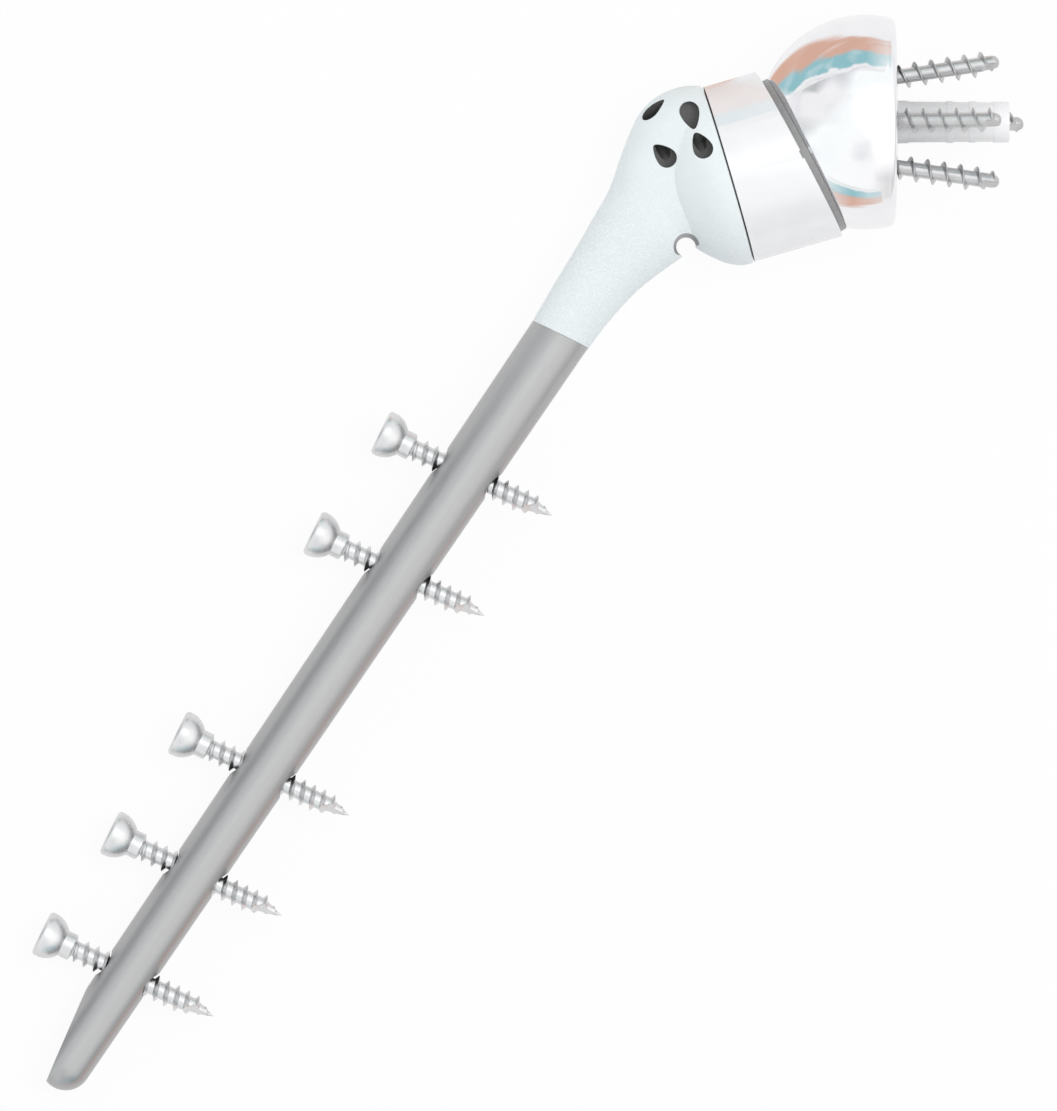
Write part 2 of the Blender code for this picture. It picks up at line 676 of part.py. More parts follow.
def build_ball(ball_empty):
    """A hollow part of a sphere: polished dome, seat for the plate, boss for the bolt."""
    bore = BALL_BOLT_RADIUS + SEAT_GAP
    counterbore = BALL_BOLT_HEAD_RADIUS + SEAT_GAP
    apex = -math.pi / 2.0 + math.asin(counterbore / BALL_RADIUS)
    back = math.asin((BALL_BACK_DEPTH - BALL_EDGE_ROUND) / BALL_RADIUS)
    back_radius = math.sqrt(BALL_RADIUS ** 2 - (BALL_BACK_DEPTH - BALL_EDGE_ROUND) ** 2)
    seat_depth = plate_front() - SEAT_GAP
    cavity = PLATE_RADIUS + SEAT_GAP
    shoulder = PLATE_RADIUS - BALL_SEAT_WIDTH
    hollow = BALL_RADIUS - BALL_WALL
    hollow_start = -math.acos(shoulder / hollow)
    hollow_end = -math.acos(BALL_BOSS_RADIUS / hollow)
    head_floor = ball_bolt_head_floor() + SEAT_GAP
    profile = arc((0.0, 0.0), BALL_RADIUS, apex, back, 2 * ARC_STEPS)
    edge_centre = (back_radius - BALL_EDGE_ROUND, BALL_BACK_DEPTH - BALL_EDGE_ROUND)
    profile += arc(edge_centre, BALL_EDGE_ROUND, math.radians(22.5), math.pi / 2.0, 3)
    profile.append((cavity, BALL_BACK_DEPTH))
    profile.append((cavity, seat_depth))
    profile.append((shoulder, seat_depth))
    profile += arc((0.0, 0.0), hollow, hollow_start, hollow_end, 5)
    profile.append((BALL_BOSS_RADIUS, seat_depth))
    profile.append((bore, seat_depth))
    profile.append((bore, head_floor))
    profile.append((counterbore, head_floor))
    ball = turned(profile, ROUND_STEPS, closed=True)
    make_object("glenosphere", ball, ball_empty, POLISHED)


def ball_bolt_head_floor():
    """Level of the bolt head's underside inside the dome's counterbore."""
    return -BALL_RADIUS + BALL_BOLT_HEAD_INSET + BALL_BOLT_HEAD_HEIGHT


def build_ball_bolt(ball_empty):
    under = ball_bolt_head_floor()
    top = under - BALL_BOLT_HEAD_HEIGHT
    end = plate_front() + BALL_BOLT_GRIP
    rings = [
        ring_points(HEX_SOCKET_RADIUS, top + HEX_SOCKET_DEPTH, 12, 6),
        ring_points(HEX_SOCKET_RADIUS, top, 12, 6),
        ring_points(BALL_BOLT_HEAD_RADIUS - BOLT_CHAMFER, top, 12),
        ring_points(BALL_BOLT_HEAD_RADIUS, top + BOLT_CHAMFER, 12),
        ring_points(BALL_BOLT_HEAD_RADIUS, under, 12),
        ring_points(BALL_BOLT_RADIUS, under, 12),
        ring_points(BALL_BOLT_RADIUS, end - BOLT_CHAMFER, 12),
        ring_points(BALL_BOLT_RADIUS - BOLT_CHAMFER, end, 12),
    ]
    make_object("glenosphere_bolt", loft(rings), ball_empty, TITANIUM)


def plate_screw_frame(turn):
    """Where a plate screw crosses the plate's back, with +Z along it to its tip."""
    out = Matrix.Rotation(turn, 4, "Z")
    back = Matrix.Translation((PLATE_SCREW_RADIUS_AT_BACK, 0.0, BALL_BACK_DEPTH - PLATE_RECESS))
    return out @ back @ Matrix.Rotation(PLATE_SCREW_SPLAY, 4, "Y")


# Name, turn about the ball's axis, reach and the thread's shift back in pitches
PLATE_SCREWS = (
    ("superior", math.pi, PLATE_SCREW_REACH, 0.51),
    ("inferior", 0.0, PLATE_SCREW_REACH, 0.39),
    ("anterior", -math.pi / 2.0, PLATE_SCREW_REACH, 0.9),
    ("posterior", math.pi / 2.0, POSTERIOR_SCREW_REACH, 0.0),
)


def build_plate(ball_empty):
    """The baseplate with its hollow, banded cage and four splayed screw holes."""
    front = plate_front()
    back = BALL_BACK_DEPTH - PLATE_RECESS
    cage_end = back + CAGE_LENGTH
    bolt_hole = BALL_BOLT_RADIUS + SEAT_GAP
    bolt_floor = front + BALL_BOLT_GRIP + SEAT_GAP
    taper = (CAGE_ROOT_RADIUS - CAGE_END_RADIUS) / CAGE_LENGTH

    def cage_radius(level):
        return CAGE_ROOT_RADIUS - taper * (level - back)

    bands = [(back, back + CAGE_ROOT_BAND)]
    for start in CAGE_BANDS:
        bands.append((back + start, back + start + CAGE_BAND_WIDTH))
    bands.append((cage_end - CAGE_END_CAP, cage_end))
    profile = [
        (bolt_hole, front),
        (PLATE_RADIUS - PLATE_EDGE_BEVEL, front),
        (PLATE_RADIUS, front + PLATE_EDGE_BEVEL),
        (PLATE_RADIUS, back - PLATE_EDGE_BEVEL),
        (PLATE_RADIUS - PLATE_EDGE_BEVEL, back),
    ]
    for start, end in bands:
        if start > back:
            profile.append((cage_radius(start) - CAGE_BAND_PROUD, start))
        profile.append((cage_radius(start), start))
        profile.append((cage_radius(end), end))
        if end < cage_end:
            profile.append((cage_radius(end) - CAGE_BAND_PROUD, end))
    profile.append((CAGE_BORE_RADIUS, cage_end))
    profile.append((CAGE_BORE_RADIUS, bolt_floor))
    profile.append((bolt_hole, bolt_floor))
    plate = make_object("glenoid_baseplate", turned(profile, PLATE_STEPS, closed=True), ball_empty,
                        BRIGHT_TITANIUM)

    holes = []
    through = PLATE_THREAD_RADIUS + SEAT_GAP
    head_hole = PLATE_SCREW_HEAD_RADIUS + SEAT_GAP
    cap_hole = CAP_RADIUS + SEAT_GAP
    cap_floor = -PLATE_HEAD_TOP + SEAT_GAP
    outside = -PLATE_THICKNESS - CAP_HEIGHT - PLATE_HEAD_TOP / 2.0
    for _, turn, _, _ in PLATE_SCREWS:
        hole = turned(
            [
                (0.0, through),
                (through, through),
                (through, -PLATE_HEAD_END + SEAT_GAP),
                (head_hole, -PLATE_HEAD_RIM + SEAT_GAP),
                (cap_hole, cap_floor),
                (cap_hole, outside),
                (0.0, outside),
            ],
            14,
        )
        holes.append(moved(hole, plate_screw_frame(turn)))
    combine(plate, make_cutter("plate_screw_holes", joined(holes), ball_empty), "DIFFERENCE")


def threaded_surface(shape, core, height, pitch, shift, rows, start, end, fade_in, fade_out):
    """One helical ridge on a core whose radius is a function of the level.

    The rows follow the helix. Levels past either end are held there, where the
    ridge has faded, so the surface closes on a plain ring once its doubles merge.
    """
    steps = SCREW_STEPS
    turns = math.ceil((end - start) / pitch) + 3
    grid = []
    for turn in range(turns + 1):
        for share, ridge in rows:
            line = []
            for i in range(steps + 1):
                level = start + pitch * (turn - 2 + share - shift + i / steps)
                level = min(max(level, start), end)
                fade = min((level - start) / fade_in, (end - level) / fade_out, 1.0)
                radius = core(level) + height * ridge * max(fade, 0.0)
                angle = 2.0 * math.pi * i / steps
                line.append(shape.verts.new((radius * math.cos(angle), radius * math.sin(angle), level)))
            grid.append(line)
    for lower, upper in zip(grid, grid[1:]):
        for i in range(steps):
            shape.faces.new((lower[i], lower[i + 1], upper[i + 1], upper[i]))


def screw_shape(head_rings, core, height, pitch, shift, rows, start, end, fade_out, tip_level):
    """Head rings, a helical thread and a closing point, welded into one solid."""
    shape = bmesh.new()
    loops = skin(shape, head_rings + [ring_points(core(start), start, SCREW_STEPS)])
    shape.faces.new(list(reversed(loops[0])))
    threaded_surface(shape, core, height, pitch, shift, rows, start, end, pitch * 0.4, fade_out)
    tip = shape.verts.new((0.0, 0.0, tip_level))
    last = [shape.verts.new(point) for point in ring_points(core(end), end, SCREW_STEPS)]
    for i in range(SCREW_STEPS):
        shape.faces.new((last[i], last[(i + 1) % SCREW_STEPS], tip))
    bmesh.ops.remove_doubles(shape, verts=shape.verts, dist=1e-6)
    return shape


def build_cross_screws(root):
    """Bicortical screws: round-backed head, plain neck, coarse thread and a sharp point."""
    tip_start = CROSS_SCREW_LENGTH - CROSS_TIP_LENGTH
    thread_start = CROSS_HEAD_LENGTH + CROSS_NECK_LENGTH
    thread_end = CROSS_SCREW_LENGTH - CROSS_THREAD_END

    def core(level):
        if level <= tip_start:
            return CROSS_CORE_RADIUS
        return CROSS_CORE_RADIUS * (CROSS_SCREW_LENGTH - level) / CROSS_TIP_LENGTH

    head_rings = [
        ring_points(HEX_SOCKET_RADIUS, HEX_SOCKET_DEPTH, SCREW_STEPS),
        ring_points(HEX_SOCKET_RADIUS, 0.0, SCREW_STEPS),
        ring_points(CROSS_HEAD_RADIUS - CROSS_FACE_BEVEL, 0.0, SCREW_STEPS),
        ring_points(CROSS_HEAD_RADIUS, CROSS_FACE_BEVEL, SCREW_STEPS),
    ]
    back_end = math.acos(CROSS_NECK_RADIUS / CROSS_HEAD_RADIUS)
    back_depth = (CROSS_HEAD_LENGTH - CROSS_RIM_LEVEL) / math.sin(back_end)
    for i in range(4):
        angle = back_end * i / 3
        radius = CROSS_HEAD_RADIUS * math.cos(angle)
        level = CROSS_RIM_LEVEL + back_depth * math.sin(angle)
        head_rings.append(ring_points(radius, level, SCREW_STEPS))
    head_rings.append(ring_points(CROSS_NECK_RADIUS, thread_start - SEAT_GAP, SCREW_STEPS))
    for number, height in enumerate(CROSS_SCREW_HEIGHTS, start=1):
        shape = screw_shape(head_rings, core, CROSS_THREAD_RADIUS - CROSS_CORE_RADIUS, CROSS_PITCH,
                            CROSS_THREAD_SHIFT, SHARP_THREAD, thread_start, thread_end,
                            CROSS_TIP_LENGTH * 0.8, CROSS_SCREW_LENGTH)
        screw = make_object("cross_screw_%d" % number, shape, root, BRIGHT_TITANIUM)
        screw.matrix_basis = cross_screw_frame(height)


def build_plate_screws(ball_empty):
    """Splayed cancellous screws with round tips, each under a locking cap."""
    head = PLATE_SCREW_HEAD_RADIUS
    head_rings = [
        ring_points(HEX_SOCKET_RADIUS, -PLATE_HEAD_TOP + HEX_SOCKET_DEPTH, SCREW_STEPS),
        ring_points(HEX_SOCKET_RADIUS, -PLATE_HEAD_TOP, SCREW_STEPS),
        ring_points(head - BOLT_CHAMFER, -PLATE_HEAD_TOP, SCREW_STEPS),
        ring_points(head, -PLATE_HEAD_RIM, SCREW_STEPS),
        ring_points(PLATE_THREAD_RADIUS, -PLATE_HEAD_END, SCREW_STEPS),
        ring_points(PLATE_THREAD_RADIUS, -PLATE_NECK_END, SCREW_STEPS),
    ]
    cap_top = -PLATE_HEAD_TOP - SEAT_GAP - CAP_HEIGHT
    cap_rings = [
        ring_points(HEX_SOCKET_RADIUS, cap_top + CAP_HEIGHT * 0.6, 12, 6),
        ring_points(HEX_SOCKET_RADIUS, cap_top, 12, 6),
        ring_points(CAP_RADIUS - BOLT_CHAMFER, cap_top, 12),
        ring_points(CAP_RADIUS, cap_top + BOLT_CHAMFER, 12),
        ring_points(CAP_RADIUS, cap_top + CAP_HEIGHT, 12),
    ]
    for name, turn, reach, shift in PLATE_SCREWS:
        tip_start = reach - PLATE_TIP_RADIUS * 1.6

        def core(level):
            if level <= tip_start:
                return PLATE_CORE_RADIUS
            share = (level - tip_start) / (reach - tip_start)
            return PLATE_CORE_RADIUS * math.sqrt(max(1.0 - share ** 2, 0.0))

        shape = screw_shape(head_rings, core, PLATE_THREAD_RADIUS - PLATE_CORE_RADIUS, PLATE_PITCH,
                            shift, BLUNT_THREAD, 0.0, reach - PLATE_THREAD_END, PLATE_PITCH * 0.6, reach)
        screw = make_object("baseplate_screw_" + name, shape, ball_empty, BRIGHT_TITANIUM)
        screw.matrix_basis = plate_screw_frame(turn)
        cap = make_object("screw_cap_" + name, loft(cap_rings), ball_empty, TITANIUM)
        cap.matrix_basis = plate_screw_frame(turn)


def rim_foot(centre, axis, radius, down):
    """The lowest point of a rim circle."""
    way = down - axis * down.dot(axis)
    return centre + way.normalized() * radius


def resting_plane():
    """The downward normal of the table, in the stem's frame.

    The part rests on the ball, the collar's rim and the head of the lowest cross
    screw. Each contact depends on the normal, so both are found together.
    """
    collar = collar_frame()
    collar_axis = collar.to_3x3() @ AXIS_Z
    collar_rim = collar.translation - collar_axis * COLLAR_LAND
    screw = cross_screw_frame(min(CROSS_SCREW_HEIGHTS))
    screw_axis = screw.to_3x3() @ AXIS_Z
    screw_rim = screw.translation + screw_axis * CROSS_RIM_LEVEL
    down = Vector((0.0, 1.0, 0.0))
    for _ in range(30):
        ball_foot = ball_centre() + down * BALL_RADIUS
        collar_foot = rim_foot(collar_rim, collar_axis, COLLAR_RADIUS, down)
        screw_foot = rim_foot(screw_rim, screw_axis, CROSS_HEAD_RADIUS, down)
        normal = (collar_foot - ball_foot).cross(screw_foot - ball_foot).normalized()
        down = normal if normal.y > 0.0 else -normal
    return down


def lay_down():
    """Turns the stem's frame so that it rests, with +X up the stem as seen from above."""
    up = -resting_plane()
    along = (AXIS_Z - up * AXIS_Z.dot(up)).normalized()
    across = up.cross(along)
    return Matrix((along, across, up)).to_4x4()


def centre_on_table(root):
    """Moves the part so that the bottom centre of its box is the origin."""
    bpy.context.view_layer.update()
    depsgraph = bpy.context.evaluated_depsgraph_get()
    low = Vector((math.inf,) * 3)
    high = Vector((-math.inf,) * 3)
    for item in bpy.context.scene.objects:
        if item.type != "MESH" or item.hide_render:
            continue
        evaluated = item.evaluated_get(depsgraph)
        mesh = evaluated.to_mesh()
        for corner in mesh.vertices:
            point = evaluated.matrix_world @ corner.co
            low = Vector(map(min, low, point))
            high = Vector(map(max, high, point))
        evaluated.to_mesh_clear()
    middle = (low + high) / 2.0
    root.location = (-middle.x, -middle.y, -low.z)


def main():
    clear_scene()
    root = empty("stem_frame", None, lay_down())
    build_stem(root)
    collar_empty, liner_empty = build_tray(root)
    build_tray_bolt(collar_empty)
    build_liner(liner_empty)
    ball_empty = empty("ball_axis", root, frame_at(ball_centre(), BALL_AXIS_ANGLE))
    build_ball(ball_empty)
    build_ball_bolt(ball_empty)
    build_plate(ball_empty)
    build_cross_screws(root)
    build_plate_screws(ball_empty)
    centre_on_table(root)


main()
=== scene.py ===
# %% [markdown]
# # A reversed shoulder prosthesis, dressed for its picture
#
# The real object replaces a shoulder joint and turns it round: the ball is screwed to the
# shoulder blade, and the cup sits on a long stem in the arm bone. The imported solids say
# where everything is. This lesson stands finer pieces in their places and gives each
# its metal or plastic. No body is moved, so the joints keep working.

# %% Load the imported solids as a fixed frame
import json
import math

import bmesh
import bpy
from mathutils import Matrix, Vector

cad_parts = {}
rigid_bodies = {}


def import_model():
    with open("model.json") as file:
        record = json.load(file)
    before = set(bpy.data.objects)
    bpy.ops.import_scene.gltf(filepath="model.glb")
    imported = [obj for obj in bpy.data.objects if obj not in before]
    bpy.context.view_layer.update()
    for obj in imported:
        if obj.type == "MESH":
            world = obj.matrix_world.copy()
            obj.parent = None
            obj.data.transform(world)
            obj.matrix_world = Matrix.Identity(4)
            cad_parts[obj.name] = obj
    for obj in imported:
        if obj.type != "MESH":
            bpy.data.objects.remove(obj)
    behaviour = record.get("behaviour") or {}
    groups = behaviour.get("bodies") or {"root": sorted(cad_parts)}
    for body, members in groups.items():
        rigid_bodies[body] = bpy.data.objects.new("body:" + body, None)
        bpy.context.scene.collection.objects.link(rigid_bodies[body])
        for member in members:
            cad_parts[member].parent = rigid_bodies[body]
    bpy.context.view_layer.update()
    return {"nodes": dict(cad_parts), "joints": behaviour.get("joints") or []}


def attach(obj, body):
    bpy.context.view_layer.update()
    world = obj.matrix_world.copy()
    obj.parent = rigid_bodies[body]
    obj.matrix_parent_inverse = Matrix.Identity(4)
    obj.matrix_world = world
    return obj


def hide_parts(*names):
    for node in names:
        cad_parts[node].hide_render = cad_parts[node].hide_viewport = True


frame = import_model()
MM = 0.001
print("solids loaded:", len(frame["nodes"]))

# %% [markdown]
# ## Two frames to work in
#
# The joints tell where the ball's centre is, which way its axis points and which way is
# the front of the shoulder. From these three come the picture's right, up and front, and
# the stem's own frame, whose origin is at the rounded tip with Z up the stem. Pieces are
# shaped in these frames in millimetres of the real part, and then put into world places.
# The collar's face has its own frame, a little lower and steeper than the solid's,
# because it stands like that in the picture.

# %% Right, up and front from the joints
joints = {joint["name"]: joint for joint in frame["joints"]}
BALL_CENTRE = Vector(joints["flexion"]["pos_m"])
RIGHT = Vector(joints["flexion"]["axis"]).normalized()
FRONT = Vector(joints["abduction"]["axis"]).normalized()
UP = FRONT.cross(RIGHT).normalized()
print("ball centre in mm:", [round(value / MM, 1) for value in BALL_CENTRE])

# %% The stem's frame and the frames of collar, liner and ball
BALL_AXIS_ANGLE = math.radians(55.9)
COLLAR_ANGLE = math.radians(41.3)
FACE_ANGLE = math.radians(39.55)
FACE_DROP_MM = 0.9
LINER_ANGLE = math.radians(27.9)
STEM_UP = RIGHT * math.cos(BALL_AXIS_ANGLE) + UP * math.sin(BALL_AXIS_ANGLE)
MEDIAL = RIGHT * math.sin(BALL_AXIS_ANGLE) - UP * math.cos(BALL_AXIS_ANGLE)
COLLAR_CENTRE = Vector((9.2, 0.0, 201.3)) * MM
BALL_LOCAL = COLLAR_CENTRE + Vector((14.5, 0.0, 20.8)) * MM
STEM_TURN = Matrix((MEDIAL, -FRONT, STEM_UP)).transposed().to_4x4()
STEM = Matrix.Translation(BALL_CENTRE) @ STEM_TURN @ Matrix.Translation(-BALL_LOCAL)


def leaning(angle):
    """The way that leans by an angle from the stem's axis towards medial."""
    return Vector((math.sin(angle), 0.0, math.cos(angle)))


def tilted(centre, angle):
    """A frame in world places whose Z leans from the stem's axis towards medial."""
    return STEM @ Matrix.Translation(centre) @ Matrix.Rotation(angle, 4, "Y")


FACE_WAY = leaning(FACE_ANGLE)
FACE_CENTRE = COLLAR_CENTRE - FACE_WAY * FACE_DROP_MM * MM
COLLAR = tilted(COLLAR_CENTRE, COLLAR_ANGLE)
FACE = tilted(FACE_CENTRE, FACE_ANGLE)
LINER = tilted(BALL_LOCAL, LINER_ANGLE)
BALL = tilted(BALL_LOCAL, BALL_AXIS_ANGLE)
print("tip of the stem in mm:", [round(value / MM, 1) for value in STEM.translation])

# %% [markdown]
# ## Node trees with few words
#
# Materials and geometry trees are built from the same small steps: add a node, set its
# values, join it to others. A few helpers keep the later cells short enough to read.
# They all work in whichever tree the name "tree" stands for at the time.


# %% Helpers for node trees
def add(kind, values=None, **settings):
    """A new node with its settings. An input gets a value or another node's output."""
    item = tree.nodes.new(kind)
    for key, value in settings.items():
        setattr(item, key, value)
    for key, value in (values or {}).items():
        feed(item.inputs[key], value)
    return item


def feed(socket, value):
    """Joins a socket to an output, or sets its value."""
    if isinstance(value, bpy.types.NodeSocket):
        tree.links.new(value, socket)
    else:
        socket.default_value = value


def maths(operation, first, *others):
    """Arithmetic on numbers or sockets, taken in turn where there are more than two."""
    for other in others or (0.0,):
        first = add("ShaderNodeMath", {0: first, 1: other}, operation=operation).outputs[0]
    return first


def along(vector, way):
    """How far a place lies along a direction."""
    return add("ShaderNodeVectorMath", {0: vector, 1: way}, operation="DOT_PRODUCT").outputs["Value"]


def scaled(vector, factor):
    """A vector made longer or shorter."""
    return add("ShaderNodeVectorMath", {0: vector, "Scale": factor}, operation="SCALE").outputs[0]


def between(value, start, end, low=0.0, high=1.0):
    """Rises or falls from low to high while the value goes from start to end."""
    spans = {"Value": value, "From Min": start, "From Max": end, "To Min": low, "To Max": high}
    return add("ShaderNodeMapRange", spans).outputs["Result"]


def blended(share, *colours):
    """A colour between two others, each a socket or plain red, green and blue."""
    first, second = [item if isinstance(item, bpy.types.NodeSocket) else (*item, 1.0) for item in colours]
    return add("ShaderNodeMix", {0: share, 6: first, 7: second}, data_type="RGBA").outputs[2]


def ramped(share, stops):
    """A colour from a ramp, whose stops are given as places and colours."""
    ramp = add("ShaderNodeValToRGB", {"Fac": share})
    elements = ramp.color_ramp.elements
    for number, (spot, colour) in enumerate(stops):
        stop = elements[number] if number < 2 else elements.new(spot)
        stop.position = spot
        stop.color = (*colour, 1.0)
    return ramp.outputs["Color"]


print("helpers for node trees are ready")

# %% [markdown]
# ## Grain, which every finish shares
#
# Even a mirror shows its making when the light is low: polishing haze, blasted pits or
# the lines that a lathe leaves. One shader group makes a patch of grain from noise at a
# given size and stretch. Each material asks for its own size and uses the height or tone.

# %% A shader group for grain
PAINTED_GLINT_SPAN = (0.86, 0.97)
grain_group = tree = bpy.data.node_groups.new("surface_grain", "ShaderNodeTree")
GRAIN_INPUTS = (("Size", "Float", 1.0 * MM), ("Contrast", "Float", 1.0), ("Stretch", "Float", 1.0),
                ("Way", "Vector", (1.0, 0.0, 0.0)))
for name, kind, start_value in GRAIN_INPUTS:
    socket = tree.interface.new_socket(name, in_out="INPUT", socket_type="NodeSocket" + kind)
    socket.default_value = start_value
for name in ("Tone", "Sparkle"):
    tree.interface.new_socket(name, in_out="OUTPUT", socket_type="NodeSocketFloat")
given = add("NodeGroupInput").outputs
place = add("ShaderNodeTexCoord").outputs["Object"]
pull = maths("SUBTRACT", 1.0, maths("DIVIDE", 1.0, given["Stretch"]))
back = scaled(given["Way"], maths("MULTIPLY", along(place, given["Way"]), pull))
squeezed = add("ShaderNodeVectorMath", {0: place, 1: back}, operation="SUBTRACT").outputs[0]
scale = maths("DIVIDE", 1.0, given["Size"])
noise = add("ShaderNodeTexNoise", {"Vector": squeezed, "Scale": scale, "Detail": 3.0}).outputs["Fac"]
cells = add("ShaderNodeTexVoronoi", {"Vector": squeezed, "Scale": scale}).outputs["Color"]
tone = maths("MULTIPLY", maths("SUBTRACT", noise, 0.5), given["Contrast"])
# Bright cells of the grain, used as painted glints.
painted_glint = add("ShaderNodeSeparateColor", {"Color": cells}).outputs[0]
add("NodeGroupOutput", {"Tone": maths("ADD", tone, 0.5), "Sparkle": between(painted_glint, *PAINTED_GLINT_SPAN)})
print("grain group:", len(tree.nodes), "nodes")

# %% [markdown]
# ## Metals and plastic
#
# A metal's colour is its base colour with Metallic at one, and its roughness says how
# sharp the room is mirrored. The small differences within one finish matter more than
# the numbers: grain changes the roughness a little and lifts a fine relief.
# The tray's side mirrors only the white room, so that white reflection is painted into
# its colour: a nearly white skin, with little metal, under a gloss.

# %% A finish from colour, roughness and grain
GRAIN_SPAN = (0.2, 0.8)
PLAIN_CONTRAST = 1.6


def grain(size, contrast=1.0, stretch=1.0, way=(1.0, 0.0, 0.0)):
    """The grain group's outputs for one size, contrast and stretch."""
    values = {"Size": size, "Contrast": contrast, "Stretch": stretch, "Way": way}
    return add("ShaderNodeGroup", values, node_tree=grain_group).outputs


def new_finish(name):
    """A new material, in which the helpers now work, and its Principled shader's inputs."""
    global tree
    material = bpy.data.materials.new(name)
    material.use_nodes = True
    tree = material.node_tree
    return material, tree.nodes["Principled BSDF"].inputs


def roughen(skin, tone, smooth, rough):
    """Roughness that follows the grain."""
    feed(skin["Roughness"], between(tone, *GRAIN_SPAN, smooth, rough))


def relief(skin, height, distance):
    """A fine relief, which is as high as the distance where the height is one."""
    feed(skin["Normal"], add("ShaderNodeBump", {"Height": height, "Distance": distance}).outputs[0])


def plain_finish(name, dark, light, metallic, smooth, rough, size):
    """Two near tones and two near roughnesses, mixed by grain."""
    material, skin = new_finish(name)
    tone = grain(size, PLAIN_CONTRAST)["Tone"]
    feed(skin["Base Color"], blended(tone, dark, light))
    feed(skin["Metallic"], metallic)
    roughen(skin, tone, smooth, rough)
    return material


mirror_alloy = plain_finish("mirror_alloy", (0.87, 0.87, 0.885), (0.93, 0.93, 0.94), 1.0, 0.04, 0.08, 5.0 * MM)
# Painted reflection: the tray's side is painted nearly white, with little metal, for the white room it mirrors.
tray_alloy = plain_finish("tray_alloy", (0.88, 0.885, 0.895), (0.92, 0.925, 0.93), 0.16, 0.04, 0.07, 4.0 * MM)
# Grey painted shade: the tray's rim face, which the ball mirrors as a grey band, and the notch's walls.
rim_shade_paint = plain_finish("machined_rim", (0.42, 0.42, 0.43), (0.50, 0.50, 0.51), 0.3, 0.45, 0.55, 0.4 * MM)
# Dark painted shade for the walls of holes and bores, and for the pad under the tray.
bore_metal = plain_finish("bore_metal", (0.15, 0.15, 0.15), (0.25, 0.25, 0.25), 0.4, 0.4, 0.55, 0.5 * MM)
bolt_metal = plain_finish("bolt_metal", (0.46, 0.47, 0.48), (0.58, 0.59, 0.59), 1.0, 0.3, 0.4, 0.4 * MM)
# The liner is white plastic; its grey is painted shade.
liner_plastic = plain_finish("liner_plastic", (0.27, 0.27, 0.27), (0.34, 0.34, 0.34), 0.0, 0.3, 0.4, 1.0 * MM)
print("a plain finish has", len(liner_plastic.node_tree.nodes), "nodes and the grain group")

# %% [markdown]
# ## Shapes turned and lofted
#
# Almost every piece is either turned, like work on a lathe, or lofted through sections,
# like the stem's swelling body. A cutter is shaped in the same way and taken away with a
# Boolean. The result is written as a plain mesh in world places, its object at the origin.


# %% Turning and lofting
def arc(centre, radius, start, end, steps):
    """Points (r, z) on a circle, with angles from +r towards +z."""
    turn = (end - start) / steps
    return [
        (centre[0] + radius * math.cos(start + turn * i), centre[1] + radius * math.sin(start + turn * i))
        for i in range(steps + 1)
    ]


def turned(profile, steps, closed=False):
    """Spins a profile once round Z and welds its seam and poles."""
    shape = bmesh.new()
    corners = [shape.verts.new((r, 0.0, z)) for r, z in profile]
    edges = [shape.edges.new(pair) for pair in zip(corners, corners[1:])]
    if closed:
        edges.append(shape.edges.new((corners[-1], corners[0])))
    bmesh.ops.spin(shape, geom=corners + edges, cent=(0, 0, 0), axis=(0, 0, 1), angle=math.tau, steps=steps)
    bmesh.ops.remove_doubles(shape, verts=shape.verts, dist=1e-6)
    return shape


def loft(rings):
    """A closed solid through rings of equally many points."""
    shape = bmesh.new()
    loops = [[shape.verts.new(point) for point in ring] for ring in rings]
    for lower, upper in zip(loops, loops[1:]):
        for i in range(len(lower)):
            j = (i + 1) % len(lower)
            shape.faces.new((lower[i], lower[j], upper[j], upper[i]))
    shape.faces.new(list(reversed(loops[0])))
    shape.faces.new(loops[-1])
    return shape


def circle(radius, height, steps, flats=0):
    """One ring; with flats it follows a polygon of that inner radius."""
    ring = []
    for i in range(steps):
        angle = math.tau * i / steps
        half = math.pi / flats if flats else 0.0
        reach = radius / math.cos((angle + half) % (2.0 * half) - half) if flats else radius
        ring.append((reach * math.cos(angle), reach * math.sin(angle), height))
    return ring


def rod(radius, start, end, steps):
    """A round bar along Z."""
    return loft([circle(radius, start, steps), circle(radius, end, steps)])


def box(size, centre):
    """A box with three sides, round a centre."""
    shape = bmesh.new()
    bmesh.ops.create_cube(shape, size=1.0)
    shape.transform(Matrix.Diagonal((*size, 1.0)))
    shape.transform(Matrix.Translation(centre))
    return shape


def metres(points_mm):
    """A profile (r, z) from millimetres."""
    return [(r * MM, z * MM) for r, z in points_mm]


print("a test cup has", len(turned([(0, 0), (1, 0), (1, 1)], 8).faces), "faces")


# %% Making pieces and cutting them
def new_object(name, data):
    """An object in the scene."""
    item = bpy.data.objects.new(name, data)
    bpy.context.scene.collection.objects.link(item)
    return item


def piece(name, shape, place, *materials):
    """An object at the origin whose mesh stands in its place in the world."""
    bmesh.ops.recalc_face_normals(shape, faces=shape.faces)
    shape.transform(place)
    mesh = bpy.data.meshes.new(name)
    shape.to_mesh(mesh)
    shape.free()
    for material in materials:
        mesh.materials.append(material)
    return new_object(name, mesh)


def settle(item, sharp=32.0):
    """Turns live modifiers into a plain mesh with crisp edges."""
    bpy.context.view_layer.update()
    depsgraph = bpy.context.evaluated_depsgraph_get()
    mesh = bpy.data.meshes.new_from_object(item.evaluated_get(depsgraph))
    item.modifiers.clear()
    item.data = mesh
    mesh.name = item.name
    mesh.shade_smooth()
    mesh.set_sharp_from_angle(angle=math.radians(sharp))
    return item


